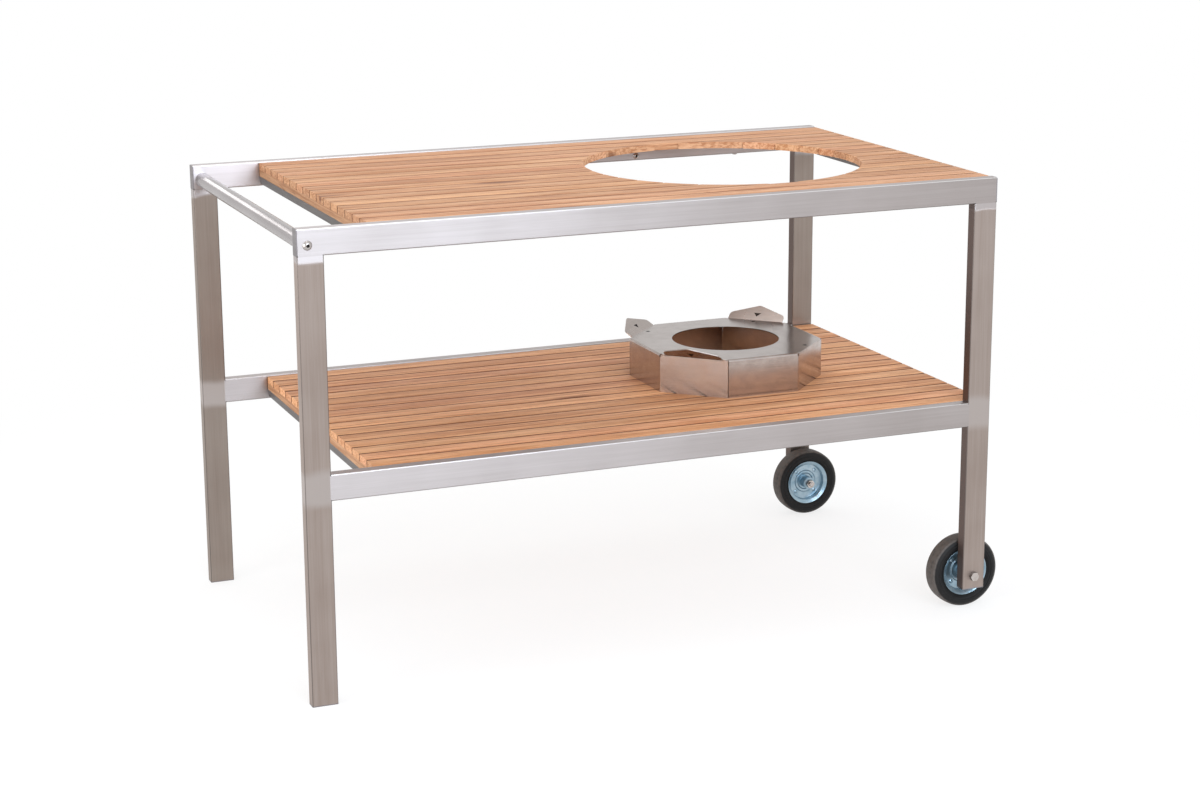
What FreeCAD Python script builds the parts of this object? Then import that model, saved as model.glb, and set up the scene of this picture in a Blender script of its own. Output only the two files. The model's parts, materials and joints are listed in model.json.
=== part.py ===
import FreeCAD, Part
import Sketcher
import os

# Wheeled garden table for a round ceramic grill. All sizes are in millimetres.
# X runs along the table from the handle end to the wheel end, Y from front to back, Z up from the floor.
# The origin is on the floor, under the middle of the whole table with its wheels.

DRIVING_SIZES = (
    ("table_length", 1430, "length of the frame, end cap to end cap"),
    ("table_depth", 820, "depth over the two long sides"),
    ("table_height", 900, "floor to the top of the upper rails"),
    ("tube_width", 50, "wide side of the frame tube"),
    ("tube_thickness", 25, "narrow side of the frame tube"),
    ("tube_wall", 2, "wall of the frame tube"),
    ("tube_corner", 2.5, "outer corner radius of the frame tube"),
    ("cap_thickness", 2, "plate that closes a tube end"),
    ("shelf_rail_top", 444, "floor to the top of the lower rails"),
    ("wheel_leg_lift", 48, "floor to the bottom of the two legs that carry wheels"),
    ("deck_start", 140, "handle end of the frame to the ends of the slats"),
    ("deck_drop", 1.5, "top of a rail to the top of the slats beside it"),
    ("slat_count", 16, "slats in the worktop, and as many in the shelf"),
    ("slat_gap", 3, "gap beside each slat"),
    ("slat_thickness", 14, "thickness of a slat"),
    ("slat_edge", 1.5, "chamfer along the top edges of a slat"),
    ("batten_width", 50, "width of a batten under the slats"),
    ("batten_thickness", 14, "thickness of a batten"),
    ("cross_width", 50, "width of a flat cross-member"),
    ("cross_height", 17, "height of a flat cross-member"),
    ("cross_wall", 2, "wall of a cross-member"),
    ("cross_corner", 2, "outer corner radius of a cross-member"),
    ("cross_inset", 2, "ends of the slats to the first and last cross-member"),
    ("cutout_place", 410, "wheel end of the frame to the middle of the cut-out"),
    ("cutout_diameter", 575, "round cut-out in the worktop"),
    ("cutout_margin", 10, "cut-out to the cross-member beside it"),
    ("deck_screw_thread", 5, "screw that holds a batten to its cross-member"),
    ("deck_screw_head", 10, "head diameter of that screw"),
    ("deck_screw_dome", 2.8, "head height of that screw"),
    ("deck_screw_key", 3, "socket of that screw, across its flats"),
    ("deck_screw_grip", 10, "length of that screw inside the batten"),
    ("deck_screw_inset", 60, "rail to the outer screws of a cross-member"),
    ("deck_screw_count", 4, "screws in each cross-member"),
    ("screw_rim", 0.8, "straight rim under the dome of a screw head"),
    ("socket_floor", 1.5, "metal left under a screw's socket"),
    ("screw_hole_gap", 0.4, "clearance all round a screw in its hole"),
    ("thread_gap", 0.1, "clearance all round a screw in its thread"),
    ("handle_diameter", 30, "outside of the round handle bar"),
    ("handle_wall", 2, "wall of the handle bar"),
    ("handle_place", 20, "handle end of the frame to the axis of the bar"),
    ("handle_drop", 30, "top of the rails to the axis of the bar"),
    ("handle_thread", 10, "screw in each end of the handle bar"),
    ("handle_screw_head", 17.5, "head diameter of that screw"),
    ("handle_screw_dome", 5.5, "head height of that screw"),
    ("handle_screw_key", 6, "socket of that screw, across its flats"),
    ("handle_screw_grip", 22, "length of that screw inside the bar"),
    ("plug_length", 28, "threaded plug in each end of the handle bar"),
    ("plug_gap", 0.1, "clearance all round a plug in the bar"),
    ("hook_thread", 8, "screws on the back rail for a tool hook"),
    ("hook_screw_head", 14, "head diameter of those screws"),
    ("hook_screw_dome", 4.4, "head height of those screws"),
    ("hook_screw_key", 5, "socket of those screws, across its flats"),
    ("hook_screw_grip", 14, "length of those screws in the rail"),
    ("hook_side_place", 440, "wheel end of the frame to the screw on the rail's inner side"),
    ("hook_side_height", 10, "bottom of the back rail to that screw"),
    ("hook_under_place", 194, "wheel end of the frame to the screw under the back rail"),
    ("wheel_diameter", 150, "outside of a tyre"),
    ("wheel_leg_gap", 4, "leg to the tyre beside it"),
    ("tyre_width", 44, "width of a tyre over its side rings"),
    ("tread_width", 30, "flat running face of a tyre"),
    ("tyre_shoulder", 9, "height of the sloping shoulder beside the tread"),
    ("tyre_cheek", 114, "diameter where the side of a tyre starts to narrow to the rim"),
    ("tyre_ring", 122, "middle of the raised ring on the side of a tyre"),
    ("tyre_ring_width", 3, "width of that ring"),
    ("tyre_ring_height", 1.2, "height of that ring"),
    ("rim_diameter", 100, "outside of the rim's lip"),
    ("rim_width", 35, "width over the two lips of a rim"),
    ("rim_seat", 86, "diameter on which the tyre sits"),
    ("rim_sheet", 1.5, "sheet of which a rim half is pressed"),
    ("rim_flare", 4, "width of the flare between seat and lip"),
    ("rim_bead", 44, "middle of the raised bead round the hub"),
    ("rim_bead_width", 8, "width of that bead"),
    ("rim_bead_height", 2.5, "height of that bead"),
    ("rivet_circle", 66, "circle on which the rim's rivets stand"),
    ("rivet_count", 4, "rivets of a rim"),
    ("rivet_diameter", 5, "shank of a rivet"),
    ("rivet_head", 9, "head of a rivet"),
    ("rivet_dome", 2, "height of a rivet's head"),
    ("fit_gap", 0.1, "clearance all round a piece that is fixed in another"),
    ("hub_diameter", 28, "outside of a hub tube"),
    ("hub_length", 47, "length of a hub tube"),
    ("bush_diameter", 22, "outside of a plain bearing bush"),
    ("sleeve_diameter", 15, "outside of the sleeve on which the wheel turns"),
    ("running_gap", 0.08, "clearance all round the sleeve in the bush"),
    ("washer_diameter", 27, "washers at both ends of a sleeve"),
    ("washer_thickness", 2, "thickness of those washers"),
    ("axle_thread", 10, "axle bolt"),
    ("axle_hex", 17, "head and nut of the axle bolt, across the flats"),
    ("axle_head_height", 7, "height of the bolt head"),
    ("axle_nut_height", 8, "height of the nut"),
    ("axle_end", 6, "bolt end that stands out of the nut"),
    ("stand_place", 395, "wheel end of the frame to the middle of the stand"),
    ("stand_offset", 9, "middle of the stand behind the middle of the table"),
    ("stand_width", 372, "stand over its straight walls"),
    ("stand_corner", 106.5, "length cut off each side at a corner of the stand"),
    ("stand_height", 80, "shelf to the top plate of the stand"),
    ("stand_sheet", 2, "sheet of the stand"),
    ("stand_bend", 4, "outer radius where the top plate folds into a wall"),
    ("stand_seam", 0.5, "open seam beside a corner plate"),
    ("stand_opening", 225, "round opening in the stand's top plate"),
    ("stand_hole", 6, "small hole beside each corner fold"),
    ("stand_hole_inset", 12, "corner fold to that hole"),
    ("tab_width", 124, "width of a raised tab at its fold"),
    ("tab_shoulder", 20, "height of a tab at its sides"),
    ("tab_peak", 46, "height of a tab at its middle"),
    ("tab_angle", 34, "angle of a tab above the top plate, in degrees"),
    ("tab_round", 12, "rounded corners of a tab"),
    ("tab_slot_width", 13, "triangular slot in a tab"),
    ("tab_slot_height", 8, "height of that slot"),
    ("tab_slot_place", 14, "fold to the point of that slot"),
)

doc = FreeCAD.newDocument("kamado_grill_table")
sizes = doc.addObject("Spreadsheet::Sheet", "sizes")
for row, (alias, value, meaning) in enumerate(DRIVING_SIZES, start=1):
    sizes.set(f"A{row}", meaning)
    sizes.set(f"B{row}", str(value))
    sizes.setAlias(f"B{row}", alias)
doc.recompute()

# Places that several pieces share, as expressions on the sheet.
LEFT = "(-(sizes.table_length + sizes.wheel_diameter / 2 - sizes.tube_width / 2) / 2)"
RIGHT = f"({LEFT} + sizes.table_length)"
FRONT = "(-sizes.table_depth / 2)"
BACK = "(sizes.table_depth / 2)"
INNER_DEPTH = "(sizes.table_depth - 2 * sizes.tube_thickness)"
DECK_LEFT = f"({LEFT} + sizes.deck_start)"
SLAT_WIDTH = f"(({INNER_DEPTH} - (sizes.slat_count + 1) * sizes.slat_gap) / sizes.slat_count)"
WORKTOP = "(sizes.table_height - sizes.deck_drop)"
SHELF = "(sizes.shelf_rail_top - sizes.deck_drop)"
AXLE_X = f"({RIGHT} - sizes.tube_width / 2)"
AXLE_Z = "(sizes.wheel_diameter / 2)"
CUTOUT_X = f"({RIGHT} - sizes.cutout_place)"
LEG_TOP = "(sizes.table_height - sizes.tube_width)"

# The local Z axis of a piece becomes this direction of the table.
X, Y, Z = FreeCAD.Vector(1, 0, 0), FreeCAD.Vector(0, 1, 0), FreeCAD.Vector(0, 0, 1)
UPRIGHT = FreeCAD.Rotation()
ALONG = FreeCAD.Rotation(Z, -Y, X, "ZXY")
ACROSS = FreeCAD.Rotation(X, -Z, Y, "ZXY")
TO_FRONT = FreeCAD.Rotation(X, Z, -Y, "ZXY")
DOWN = FreeCAD.Rotation(X, -Y, -Z, "ZXY")

# How closely edges and faces are told apart when one is looked up by its place.
SAME_PLACE = 0.01
PARALLEL = 0.999

nodes = []


def near(first, second):
    return abs(first - second) < SAME_PLACE


def value(expression):
    """Number that an expression on the sheet stands for."""
    return float(sizes.evalExpression(expression))


def keep(piece, label):
    """Give a finished piece its label and list it among the pieces of the table."""
    piece.Label = label
    nodes.append(piece)
    return piece


def place(piece, x, y, z, turn=UPRIGHT):
    """Put a piece at three expressions, turned as given."""
    piece.Placement = FreeCAD.Placement(FreeCAD.Vector(), turn)
    for axis, expression in zip("xyz", (x, y, z)):
        piece.setExpression(f"Placement.Base.{axis}", str(expression))


def new_body(label):
    body = doc.addObject("PartDesign::Body", label)
    body.Label = label
    return body


def sketch_on(body, role, label):
    """Empty sketch on one of the body's own origin planes."""
    sketch = body.newObject("Sketcher::SketchObject", f"{body.Name}_{label}")
    plane = next(feature for feature in body.Origin.OriginFeatures if feature.Role == role)
    sketch.AttachmentSupport = [(plane, "")]
    sketch.MapMode = "FlatFace"
    return sketch


def bind_point(sketch, geometry, end, x, y):
    """Hold one point of a sketch at two expressions."""
    for kind, expression in (("DistanceX", x), ("DistanceY", y)):
        number = sketch.addConstraint(
            Sketcher.Constraint(kind, -1, 1, geometry, end, value(expression)))
        sketch.setExpression(f"Constraints[{number}]", expression)


def outline(sketch, corners):
    """Closed outline of straight lines through corners given as expressions."""
    points = [FreeCAD.Vector(value(x), value(y), 0) for x, y in corners]
    count = len(points)
    lines = [sketch.addGeometry(Part.LineSegment(points[i], points[(i + 1) % count]), False)
             for i in range(count)]
    for i, line in enumerate(lines):
        sketch.addConstraint(Sketcher.Constraint("Coincident", line, 2, lines[(i + 1) % count], 1))
        bind_point(sketch, line, 1, *corners[i])


def rectangle(sketch, width, height):
    """Rectangle about the sketch's origin."""
    right, top = f"{width} / 2", f"{height} / 2"
    left, bottom = f"-{width} / 2", f"-{height} / 2"
    outline(sketch, ((left, bottom), (right, bottom), (right, top), (left, top)))


def circle(sketch, diameter, x=None, y=None):
    """Circle of a given diameter, at two expressions or about the sketch's origin."""
    centre = FreeCAD.Vector(value(x or "0"), value(y or "0"), 0)
    ring = sketch.addGeometry(Part.Circle(centre, Z, value(diameter) / 2), False)
    number = sketch.addConstraint(Sketcher.Constraint("Diameter", ring, value(diameter)))
    sketch.setExpression(f"Constraints[{number}]", diameter)
    if x is None:
        sketch.addConstraint(Sketcher.Constraint("Coincident", ring, 3, -1, 1))
    else:
        bind_point(sketch, ring, 3, x, y)


def hexagon(sketch, flats):
    """Regular hexagon about the sketch's origin, across its flats."""
    corner = f"{flats} / 2 / cos(30)"
    outline(sketch, [(f"{corner} * cos({angle})", f"{corner} * sin({angle})") for angle in range(0, 360, 60)])


def pad(body, sketch, length):
    feature = body.newObject("PartDesign::Pad", f"{sketch.Name}_pad")
    feature.Profile = sketch
    feature.setExpression("Length", length)
    doc.recompute()
    return feature


def pocket(body, sketch, depth=None, reverse=False):
    """Cut a sketch out of the body, to a depth or right through both ways."""
    before = body.Shape.Volume
    feature = body.newObject("PartDesign::Pocket", f"{sketch.Name}_cut")
    feature.Profile = sketch
    feature.Reversed = reverse
    if depth is None:
        feature.Type = "ThroughAll"
        feature.Midplane = True
    else:
        feature.setExpression("Length", depth)
    doc.recompute()
    if not body.Shape.Volume < before:
        raise RuntimeError(f"{feature.Name} cuts nothing")
    return feature


def revolve(body, sketch):
    """Turn a profile in the XZ plane about the local Z axis."""
    feature = body.newObject("PartDesign::Revolution", f"{sketch.Name}_turn")
    feature.Profile = sketch
    feature.ReferenceAxis = (sketch, ["V_Axis"])
    feature.Angle = 360
    doc.recompute()
    return feature


def dress(body, kind, test, size):
    """Fillet or chamfer the edges of the body's last feature that pass a test."""
    base = body.Tip
    names = [f"Edge{i}" for i, edge in enumerate(base.Shape.Edges, start=1) if test(edge)]
    feature = body.newObject(f"PartDesign::{kind}", f"{body.Name}_{kind.lower()}")
    feature.Base = (base, names)
    feature.setExpression("Radius" if kind == "Fillet" else "Size", size)
    doc.recompute()
    return feature


def runs_along(axis):
    """Test for straight edges parallel to an axis."""
    def test(edge):
        return isinstance(edge.Curve, Part.Line) and abs(edge.Curve.Direction.dot(axis)) > PARALLEL
    return test


def ring_at(radius, height):
    """Test for a whole circle about the local Z axis."""
    def test(edge):
        if not isinstance(edge.Curve, Part.Circle):
            return False
        return near(edge.Curve.Radius, radius) and near(edge.Curve.Center.z, height)
    return test


def copies_of(pattern, places):
    """Shapes of a pattern, one at each placement."""
    copies = []
    for placement in places:
        copy = pattern.Shape.copy()
        copy.Placement = placement.multiply(pattern.Placement)
        copies.append(copy)
    return copies


def group(label, copies):
    """Like pieces as separate solids of one node."""
    piece = doc.addObject("Part::Feature", label)
    piece.Shape = Part.Compound(copies)
    return keep(piece, label)


def at(x, y, z, turn=UPRIGHT):
    """Placement from three expressions."""
    return FreeCAD.Placement(FreeCAD.Vector(value(x), value(y), value(z)), turn)


# Frame: rectangular stainless tube, welded.

def tube(label, section, length):
    """Hollow tube of a rectangular section with rounded corners, standing on its own origin."""
    width, thickness, wall, corner = section
    body = new_body(label)
    outside = sketch_on(body, "XY_Plane", "outside")
    rectangle(outside, width, thickness)
    pad(body, outside, length)
    dress(body, "Fillet", runs_along(Z), corner)
    inside = sketch_on(body, "XY_Plane", "inside")
    rectangle(inside, f"({width} - 2 * {wall})", f"({thickness} - 2 * {wall})")
    pocket(body, inside)
    return body


FRAME_TUBE = ("sizes.tube_width", "sizes.tube_thickness", "sizes.tube_wall", "sizes.tube_corner")
CROSS_TUBE = ("sizes.cross_width", "sizes.cross_height", "sizes.cross_wall", "sizes.cross_corner")


def drill(body, label, diameter, x, y, depth=None, side="XZ_Plane"):
    """Round hole square to one of the body's planes, right through or from the plane to a depth."""
    sketch = sketch_on(body, side, label)
    circle(sketch, diameter, x, y)
    pocket(body, sketch, depth)


def clearance(thread):
    return f"({thread} + 2 * sizes.screw_hole_gap)"


def build_rails():
    top_z = "sizes.table_height - sizes.tube_width / 2"
    low_z = "sizes.shelf_rail_top - sizes.tube_width / 2"
    rail_y = {"front": f"{FRONT} + sizes.tube_thickness / 2", "back": f"{BACK} - sizes.tube_thickness / 2"}
    for side, y in rail_y.items():
        top = tube(f"top_rail_{side}", FRAME_TUBE, "sizes.table_length - 2 * sizes.cap_thickness")
        drill(top, "handle_hole", clearance("sizes.handle_thread"),
              "sizes.tube_width / 2 - sizes.handle_drop", "sizes.handle_place - sizes.cap_thickness")
        place(top, f"{LEFT} + sizes.cap_thickness", y, top_z, ALONG)
        low = tube(f"lower_rail_{side}", FRAME_TUBE, "sizes.table_length - 2 * sizes.tube_width")
        place(low, f"{LEFT} + sizes.tube_width", y, low_z, ALONG)
        if side == "back":
            drill(top, "hook_side_hole", clearance("sizes.hook_thread"),
                  "sizes.hook_side_height - sizes.tube_width / 2",
                  "sizes.table_length - sizes.hook_side_place - sizes.cap_thickness",
                  "sizes.tube_thickness")
            drill(top, "hook_under_hole", clearance("sizes.hook_thread"),
                  "0.0", "sizes.table_length - sizes.hook_under_place - sizes.cap_thickness",
                  "sizes.tube_width", "YZ_Plane")
        keep(top, f"top_rail_{side}")
        keep(low, f"lower_rail_{side}")


def build_legs():
    leg_y = {"front": f"{FRONT} + sizes.tube_thickness / 2", "back": f"{BACK} - sizes.tube_thickness / 2"}
    for side, y in leg_y.items():
        foot = tube(f"leg_{side}_left", FRAME_TUBE, f"{LEG_TOP} - sizes.cap_thickness")
        place(foot, f"{LEFT} + sizes.tube_width / 2", y, "sizes.cap_thickness")
        keep(foot, f"leg_{side}_left")
        start = "sizes.wheel_leg_lift + sizes.cap_thickness"
        leg = tube(f"leg_{side}_right", FRAME_TUBE, f"{LEG_TOP} - ({start})")
        drill(leg, "axle_hole", clearance("sizes.axle_thread"), "0.0", f"{AXLE_Z} - ({start})")
        place(leg, AXLE_X, y, start)
        keep(leg, f"leg_{side}_right")


def build_end_caps():
    cap = new_body("end_cap")
    face = sketch_on(cap, "XY_Plane", "face")
    rectangle(face, "sizes.tube_width", "sizes.tube_thickness")
    pad(cap, face, "sizes.cap_thickness")
    dress(cap, "Fillet", runs_along(Z), "sizes.tube_corner")
    places = []
    for y in (f"{FRONT} + sizes.tube_thickness / 2", f"{BACK} - sizes.tube_thickness / 2"):
        rail_z = "sizes.table_height - sizes.tube_width / 2"
        places.append(at(LEFT, y, rail_z, ALONG))
        places.append(at(f"{RIGHT} - sizes.cap_thickness", y, rail_z, ALONG))
        places.append(at(f"{LEFT} + sizes.tube_width / 2", y, "0"))
        places.append(at(AXLE_X, y, "sizes.wheel_leg_lift"))
    group("tube_end_caps", copies_of(cap, places))


# Deck: flat cross-members between the rails, battens on them, and slats along the table.

def first_cross():
    """Middle of the cross-member nearest the handle."""
    return f"({DECK_LEFT} + sizes.cross_inset + sizes.cross_width / 2)"


def last_cross():
    """Middle of the cross-member at the wheel end, flush with the ends of the slats."""
    return f"({RIGHT} - sizes.cross_width / 2)"


def cutout_cross():
    """Middle of the worktop's cross-member beside the cut-out."""
    edge = f"({CUTOUT_X} - sizes.cutout_diameter / 2)"
    return f"({edge} - sizes.cutout_margin - sizes.cross_width / 2)"


def cross_places(deck):
    """Middles of a deck's four cross-members, from the handle end to the wheel end."""
    first, last = first_cross(), last_cross()
    if deck == "top":
        return (first, f"(({first} + {cutout_cross()}) / 2)", cutout_cross(), last)
    return (first, f"((2 * {first} + {last}) / 3)", f"(({first} + 2 * {last}) / 3)", last)


def screw_places():
    """Distances of a cross-member's screws from its front end."""
    count = round(value("sizes.deck_screw_count"))
    run = f"({INNER_DEPTH} - 2 * sizes.deck_screw_inset)"
    return [f"(sizes.deck_screw_inset + {run} * {i} / (sizes.deck_screw_count - 1))" for i in range(count)]


DECKS = {"top": WORKTOP, "shelf": SHELF}


def batten_bottom(deck):
    return f"({DECKS[deck]} - sizes.slat_thickness - sizes.batten_thickness)"


def build_cross_members():
    for deck in DECKS:
        for number, x in enumerate(cross_places(deck), start=1):
            member = tube(f"{deck}_cross_member_{number}", CROSS_TUBE, INNER_DEPTH)
            holes = sketch_on(member, "XZ_Plane", "screw_holes")
            for y in screw_places():
                circle(holes, clearance("sizes.deck_screw_thread"), "0.0", y)
            pocket(member, holes)
            z = f"{batten_bottom(deck)} - sizes.cross_height / 2"
            place(member, x, f"{FRONT} + sizes.tube_thickness", z, ACROSS)
            keep(member, member.Label)


def batten(label, start):
    """Plank across the frame, screwed on from below. Its screws stand on the local Y axis."""
    body = new_body(label)
    plan = sketch_on(body, "XY_Plane", "plan")
    near, far = "sizes.slat_gap", f"({INNER_DEPTH} - sizes.slat_gap)"
    end = f"({start} + sizes.batten_width)"
    outline(plan, ((start, near), (end, near), (end, far), (start, far)))
    pad(body, plan, "sizes.batten_thickness")
    holes = sketch_on(body, "XY_Plane", "screw_holes")
    for y in screw_places():
        circle(holes, "(sizes.deck_screw_thread + 2 * sizes.thread_gap)", "0.0", y)
    pocket(body, holes, "sizes.deck_screw_grip + sizes.screw_hole_gap", reverse=True)
    return body


def build_battens():
    """One batten on each cross-member; the first and the last are flush with the ends of the slats."""
    first = batten("batten_first", "(-sizes.cross_inset - sizes.cross_width / 2)")
    inner = batten("batten_inner", "(-sizes.batten_width / 2)")
    last = batten("batten_last", "(sizes.cross_width / 2 - sizes.batten_width)")
    for deck in DECKS:
        copies = []
        for pattern, x in zip((first, inner, inner, last), cross_places(deck)):
            here = at(x, f"{FRONT} + sizes.tube_thickness", batten_bottom(deck))
            copies += copies_of(pattern, [here])
        group(f"{deck}_battens", copies)


def slat(label):
    """Plank with its four top edges eased, its left end on the local origin."""
    body = new_body(label)
    plan = sketch_on(body, "XY_Plane", "plan")
    length = f"({RIGHT} - {DECK_LEFT})"
    side = f"{SLAT_WIDTH} / 2"
    outline(plan, (("0.0", f"-{side}"), (length, f"-{side}"), (length, side), ("0.0", side)))
    pad(body, plan, "sizes.slat_thickness")
    top = value("sizes.slat_thickness")
    dress(body, "Fillet", lambda edge: all(near(end.Z, top) for end in edge.Vertexes), "sizes.slat_edge")
    return body


def slat_middle(number):
    """Middle of a slat, counted from the front rail."""
    pitch = f"({SLAT_WIDTH} + sizes.slat_gap)"
    return f"({FRONT} + sizes.tube_thickness + sizes.slat_gap + {SLAT_WIDTH} / 2 + {number} * {pitch})"


def build_slats():
    hole = doc.addObject("Part::Cylinder", "cutout")
    hole.setExpression("Radius", "sizes.cutout_diameter / 2")
    hole.setExpression("Height", "3 * sizes.slat_thickness")
    place(hole, CUTOUT_X, "0.0", f"{WORKTOP} - 2 * sizes.slat_thickness")
    reach = value("sizes.cutout_diameter") / 2
    for number in range(round(value("sizes.slat_count"))):
        label = f"top_slat_{number + 1:02d}"
        middle = slat_middle(number)
        cut = abs(value(middle)) - value(SLAT_WIDTH) / 2 < reach
        plank = slat(f"{label}_whole" if cut else label)
        place(plank, DECK_LEFT, middle, f"{WORKTOP} - sizes.slat_thickness")
        if cut:
            doc.recompute()
            whole = plank
            plank = doc.addObject("Part::Cut", label)
            plank.Base = whole
            plank.Tool = hole
        keep(plank, label)
    pattern = slat("shelf_slat")
    z = f"{SHELF} - sizes.slat_thickness"
    count = round(value("sizes.slat_count"))
    places = [at(DECK_LEFT, slat_middle(number), z) for number in range(count)]
    group("shelf_slats", copies_of(pattern, places))


# Screws: round heads with a hexagon socket. The head sits on the local origin, its shank along +Z.

def button_screw(label, thread, head, dome, key, length):
    body = new_body(label)
    disc = sketch_on(body, "XY_Plane", "head")
    circle(disc, head)
    pad(body, disc, dome).Reversed = True
    doc.recompute()
    dress(body, "Fillet", ring_at(value(head) / 2, -value(dome)), f"{dome} - sizes.screw_rim")
    socket = sketch_on(body, "XY_Plane", "socket")
    socket.setExpression("AttachmentOffset.Base.z", f"-{dome}")
    hexagon(socket, key)
    pocket(body, socket, f"{dome} - sizes.socket_floor", reverse=True)
    shank = sketch_on(body, "XY_Plane", "shank")
    circle(shank, thread)
    pad(body, shank, length)
    return body


def build_deck_screws():
    screw = button_screw("deck_screw", "sizes.deck_screw_thread", "sizes.deck_screw_head",
                         "sizes.deck_screw_dome", "sizes.deck_screw_key",
                         "sizes.cross_height + sizes.deck_screw_grip")
    places = []
    for deck in DECKS:
        for x in cross_places(deck):
            for y in screw_places():
                z = f"{batten_bottom(deck)} - sizes.cross_height"
                places.append(at(x, f"{FRONT} + sizes.tube_thickness + {y}", z))
    group("deck_screws", copies_of(screw, places))


def build_handle():
    x = f"{LEFT} + sizes.handle_place"
    z = "sizes.table_height - sizes.handle_drop"
    bar = new_body("handle_bar")
    section = sketch_on(bar, "XY_Plane", "section")
    circle(section, "sizes.handle_diameter")
    circle(section, "(sizes.handle_diameter - 2 * sizes.handle_wall)")
    pad(bar, section, INNER_DEPTH)
    place(bar, x, f"{FRONT} + sizes.tube_thickness", z, ACROSS)
    keep(bar, "handle_bar")

    plug = new_body("handle_plug")
    ring = sketch_on(plug, "XY_Plane", "ring")
    circle(ring, "(sizes.handle_diameter - 2 * sizes.handle_wall - 2 * sizes.plug_gap)")
    circle(ring, "(sizes.handle_thread + 2 * sizes.thread_gap)")
    pad(plug, ring, "sizes.plug_length")
    group("handle_plugs", copies_of(plug, [
        at(x, f"{FRONT} + sizes.tube_thickness", z, ACROSS),
        at(x, f"{BACK} - sizes.tube_thickness", z, TO_FRONT)]))

    screw = button_screw("handle_screw", "sizes.handle_thread", "sizes.handle_screw_head",
                         "sizes.handle_screw_dome", "sizes.handle_screw_key",
                         "sizes.tube_thickness + sizes.handle_screw_grip")
    group("handle_screws", copies_of(screw, [at(x, FRONT, z, ACROSS), at(x, BACK, z, TO_FRONT)]))


def build_hook_screws():
    """Two screws on the back rail, one on its inner side and one underneath."""
    screw = button_screw("hook_screw", "sizes.hook_thread", "sizes.hook_screw_head",
                         "sizes.hook_screw_dome", "sizes.hook_screw_key", "sizes.hook_screw_grip")
    side = at(f"{RIGHT} - sizes.hook_side_place", f"{BACK} - sizes.tube_thickness",
              f"{LEG_TOP} + sizes.hook_side_height", ACROSS)
    under = at(f"{RIGHT} - sizes.hook_under_place", f"{BACK} - sizes.tube_thickness / 2", LEG_TOP)
    group("hook_screws", copies_of(screw, [side, under]))


# Wheels: each turns on a sleeve round its axle bolt. Local Z is the axle, its origin mid-wheel.

WHEEL_Y = {
    "front": f"({FRONT} + sizes.tube_thickness + sizes.wheel_leg_gap + sizes.tyre_width / 2)",
    "back": f"({BACK} - sizes.tube_thickness - sizes.wheel_leg_gap - sizes.tyre_width / 2)",
}
INWARD = {"front": ACROSS, "back": TO_FRONT}
OUTWARD = {"front": TO_FRONT, "back": ACROSS}


def turned_piece(label, corners):
    body = new_body(label)
    profile = sketch_on(body, "XZ_Plane", "profile")
    outline(profile, corners)
    revolve(body, profile)
    return body


def pipe(label, outer, inner, length):
    """Plain ring or tube, half to each side of the local origin."""
    body = new_body(label)
    section = sketch_on(body, "XY_Plane", "section")
    circle(section, outer)
    circle(section, inner)
    pad(body, section, length).Midplane = True
    doc.recompute()
    return body


def put_on_axle(piece, side, label, turn):
    place(piece, AXLE_X, WHEEL_Y[side], AXLE_Z, turn)
    return keep(piece, label)


FLARE_START = "(sizes.rim_width / 2 - sizes.rim_sheet - sizes.rim_flare)"
HUB_BORE = "(sizes.bush_diameter + 2 * sizes.fit_gap)"


def build_tyre(side):
    bead = "(sizes.rim_seat / 2 + sizes.fit_gap)"
    bead_side = f"({FLARE_START} - 2 * sizes.fit_gap)"
    lip = "sizes.rim_diameter / 2"
    lip_side = "(sizes.rim_width / 2 - sizes.rim_sheet - 2 * sizes.fit_gap)"
    cheek_side = "(sizes.tyre_width / 2 - sizes.tyre_ring_height)"
    ring_low = "sizes.tyre_ring / 2 - sizes.tyre_ring_width / 2"
    ring_high = "sizes.tyre_ring / 2 + sizes.tyre_ring_width / 2"
    crown = "sizes.wheel_diameter / 2"
    half = (
        (bead, bead_side), (lip, lip_side), (f"{lip} + sizes.rim_sheet", lip_side),
        ("sizes.tyre_cheek / 2", cheek_side), (ring_low, cheek_side), (ring_low, "sizes.tyre_width / 2"),
        (ring_high, "sizes.tyre_width / 2"), (ring_high, cheek_side),
        (f"{crown} - sizes.tyre_shoulder", cheek_side), (crown, "sizes.tread_width / 2"))
    mirrored = tuple((radius, f"-{width}") for radius, width in reversed(half))
    tyre = turned_piece(f"{side}_wheel_tyre", half + mirrored)
    put_on_axle(tyre, side, f"{side}_wheel_tyre", INWARD[side])


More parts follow.
